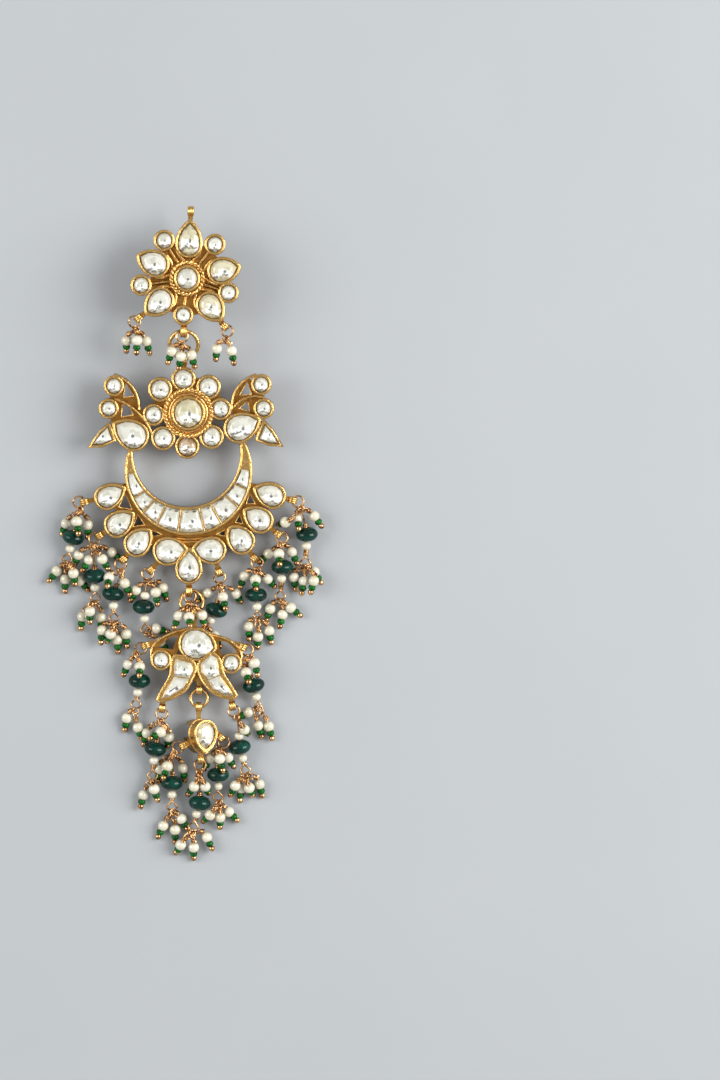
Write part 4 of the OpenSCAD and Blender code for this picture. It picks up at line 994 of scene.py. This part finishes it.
eye = hoop(EYE_R, EYE_WIRE, 18, 7)
for spot in eye.data.vertices:
    spot.co.y *= EYE_LONG
bpy.ops.object.shade_smooth()
small_ring = hoop(SMALL_RING_R, RING_WIRE, 32, 8)
for spot in small_ring.data.vertices:
    spot.co.z += 0.1 * sin(atan2(spot.co.y, spot.co.x) / 2)
bpy.ops.object.shade_smooth()


def coil(start, end):
    """The turns of a wire wound round a neck."""
    length = (end - start).length
    place = along(start, end - start)
    count = max(2, int(length / COIL_STEP)) * 8
    return [place @ Vector((COIL_R * cos(k * pi / 4), COIL_R * sin(k * pi / 4), length * k / count))
            for k in range(count + 1)]


def eye_row(start, end, first):
    """Places of small eyes in a row, each turned another way."""
    way = (end - start).normalized()
    upright = way.cross(Vector((0, 0, 1))).cross(way)
    count = max(1, round((end - start).length / EYE_STEP))
    return [along(start + (end - start) * (k + 0.5) / count,
                  Matrix.Rotation(radians(EYE_TURNS[(first + 2 * k) % 5]), 3, way) @ upright)
            for k in range(count)]


def drop_loop(top, foot):
    """A wire bent to an open loop, pointed at its top."""
    way = foot - top
    side = way.cross(Vector((0, 0, 1))).normalized() * min(LOOP_HALF, way.length * 0.45)
    steps = [k / 12 for k in range(1, 12)]
    return ([top] + [top + way * t + side * sin(pi * t ** 1.5) for t in steps] + [foot]
            + [top + way * t - side * sin(pi * t ** 1.5) for t in reversed(steps)])


def wirework(name, group, node):
    """All the wire of one node's strings: rings, eyes, necks, open loops and ball ends."""
    straight, coils, eyes, balls = [], [], [], []
    for string in group:
        hang = string.knots[0] - string.ring
        eyes += eye_row(string.ring + hang.normalized() * SMALL_RING_R, string.knots[0], 1)
        if string.through:
            knot, bead, foot = string.through
            at, way = string.whites[0]
            top = at + way * WHITE_FACE
            loop_top = foot - way * min(LOOP_LENGTH, (foot - top).length)
            straight += [([knot, bead, loop_top], False), (drop_loop(loop_top, foot), True)]
            into = (bead - knot).normalized()
            coils.append((coil(bead - into * COLLAR_START, bead - into * COLLAR_END), False))
            if (loop_top - top).length > 0.3:
                coils.append((coil(top, loop_top), False))
        for k, s in enumerate(string.strands):
            fall = s.neck - s.knot
            bound = s.neck - fall.normalized() * min(COIL_LENGTH, fall.length * 0.6)
            eyes += eye_row(s.knot, bound, k)
            coils.append((coil(bound, s.neck), False))
            straight.append(([bound, s.neck, s.ball], False))
            balls.append(along(s.ball, -s.way))
    piece = joined(name, [
        copies("rings", small_ring, [Matrix.Translation(s.ring) @ Matrix.Rotation(1.7 * k, 4, "Z")
                                     for k, s in enumerate(group)]),
        copies("eyes", eye, eyes),
        copies("balls", ball_end, balls),
        tubes("straight", straight, WIRE, Matrix(), 1),
        tubes("coils", coils, COIL_WIRE, Matrix(), 1),
    ])
    finished_with(piece, rose_gold.material)
    return fitted(piece, "rose_gold_wire", node)


wirework("stud_wirework", strings["stud"], "stud_wires")
wirework("fan_wirework_left", strings["fan"][:5], "fan_wires_left")
wirework("fan_wirework_right", strings["fan"][5:], "fan_wires_right")
wirework("lotus_wirework", strings["lotus"], "lotus_wires")
wirework("drop_wirework", strings["drop"], "drop_wires")
for model in (*ribs.values(), pearl_model, white_model, rondelle_model, seed_model,
              ball_end, eye, small_ring):
    bpy.data.objects.remove(model)

# Table, light and camera: the earring lies face up on a smooth pale blue-grey board, lit by a
# soft window of light on each side, and is seen from straight above.
VIEW_AT, VIEW_HEIGHT, VIEW_WIDTH, SENSOR = Vector((0.0357, -0.0540)), 1.2, 0.225, 36
SKY_LOW, SKY_HIGH, SKY_STRENGTH = (0.58, 0.60, 0.62, 1), (0.42, 0.42, 0.41, 1), 1.1
LIGHT_AIM, LIGHT_REACH = Vector((0, -0.05, 0)), 0.9
board = Finish("pale_board", roughness=0.75)
mottle = board.noise(0.02, 4)
board.show(base_color=board.mix(mottle, (0.350, 0.369, 0.384), (0.375, 0.392, 0.407)),
           normal=board.bump(board.noise(1.5, 2), 0.05, 0.0001))
bpy.ops.mesh.primitive_plane_add(size=3, location=(0, 0, -0.00002))
floor = bpy.context.object
floor.name = "board"
finished_with(floor, board.material)

world = bpy.data.worlds.new("studio")
bpy.context.scene.world = world
world.use_nodes = True
sky = world.node_tree
view = sky.nodes.new("ShaderNodeTexCoord")
height = sky.nodes.new("ShaderNodeSeparateXYZ")
ramp = sky.nodes.new("ShaderNodeValToRGB")
sky.links.new(view.outputs["Generated"], height.inputs[0])
sky.links.new(height.outputs[2], ramp.inputs[0])
sky.links.new(ramp.outputs[0], sky.nodes["Background"].inputs[0])
low, high = ramp.color_ramp.elements
low.position, low.color = 0.1, SKY_LOW
high.position, high.color = 0.95, SKY_HIGH
sky.nodes["Background"].inputs[1].default_value = SKY_STRENGTH


def window_light(name, lean, power, size):
    """A large soft light, leaning away from straight above and aimed at the earring."""
    way = Vector((sin(radians(lean)), 0.12, cos(radians(lean)))).normalized()
    at = LIGHT_AIM + way * LIGHT_REACH
    bpy.ops.object.light_add(type="AREA", location=at, rotation=way.to_track_quat("Z", "Y").to_euler())
    light = bpy.context.object
    light.name = name
    light.data.shape, light.data.size, light.data.size_y = "RECTANGLE", size, size * 1.3
    light.data.energy = power


window_light("right_window", lean=52, power=10.5, size=0.54)
window_light("left_window", lean=-52, power=5.2, size=0.5)

bpy.ops.object.camera_add(location=(*VIEW_AT, VIEW_HEIGHT), rotation=(0, 0, 0))
camera = bpy.context.object
camera.data.sensor_width = SENSOR
camera.data.lens = SENSOR * VIEW_HEIGHT / VIEW_WIDTH
bpy.context.scene.camera = camera
bpy.context.scene.view_settings.view_transform = "Standard"
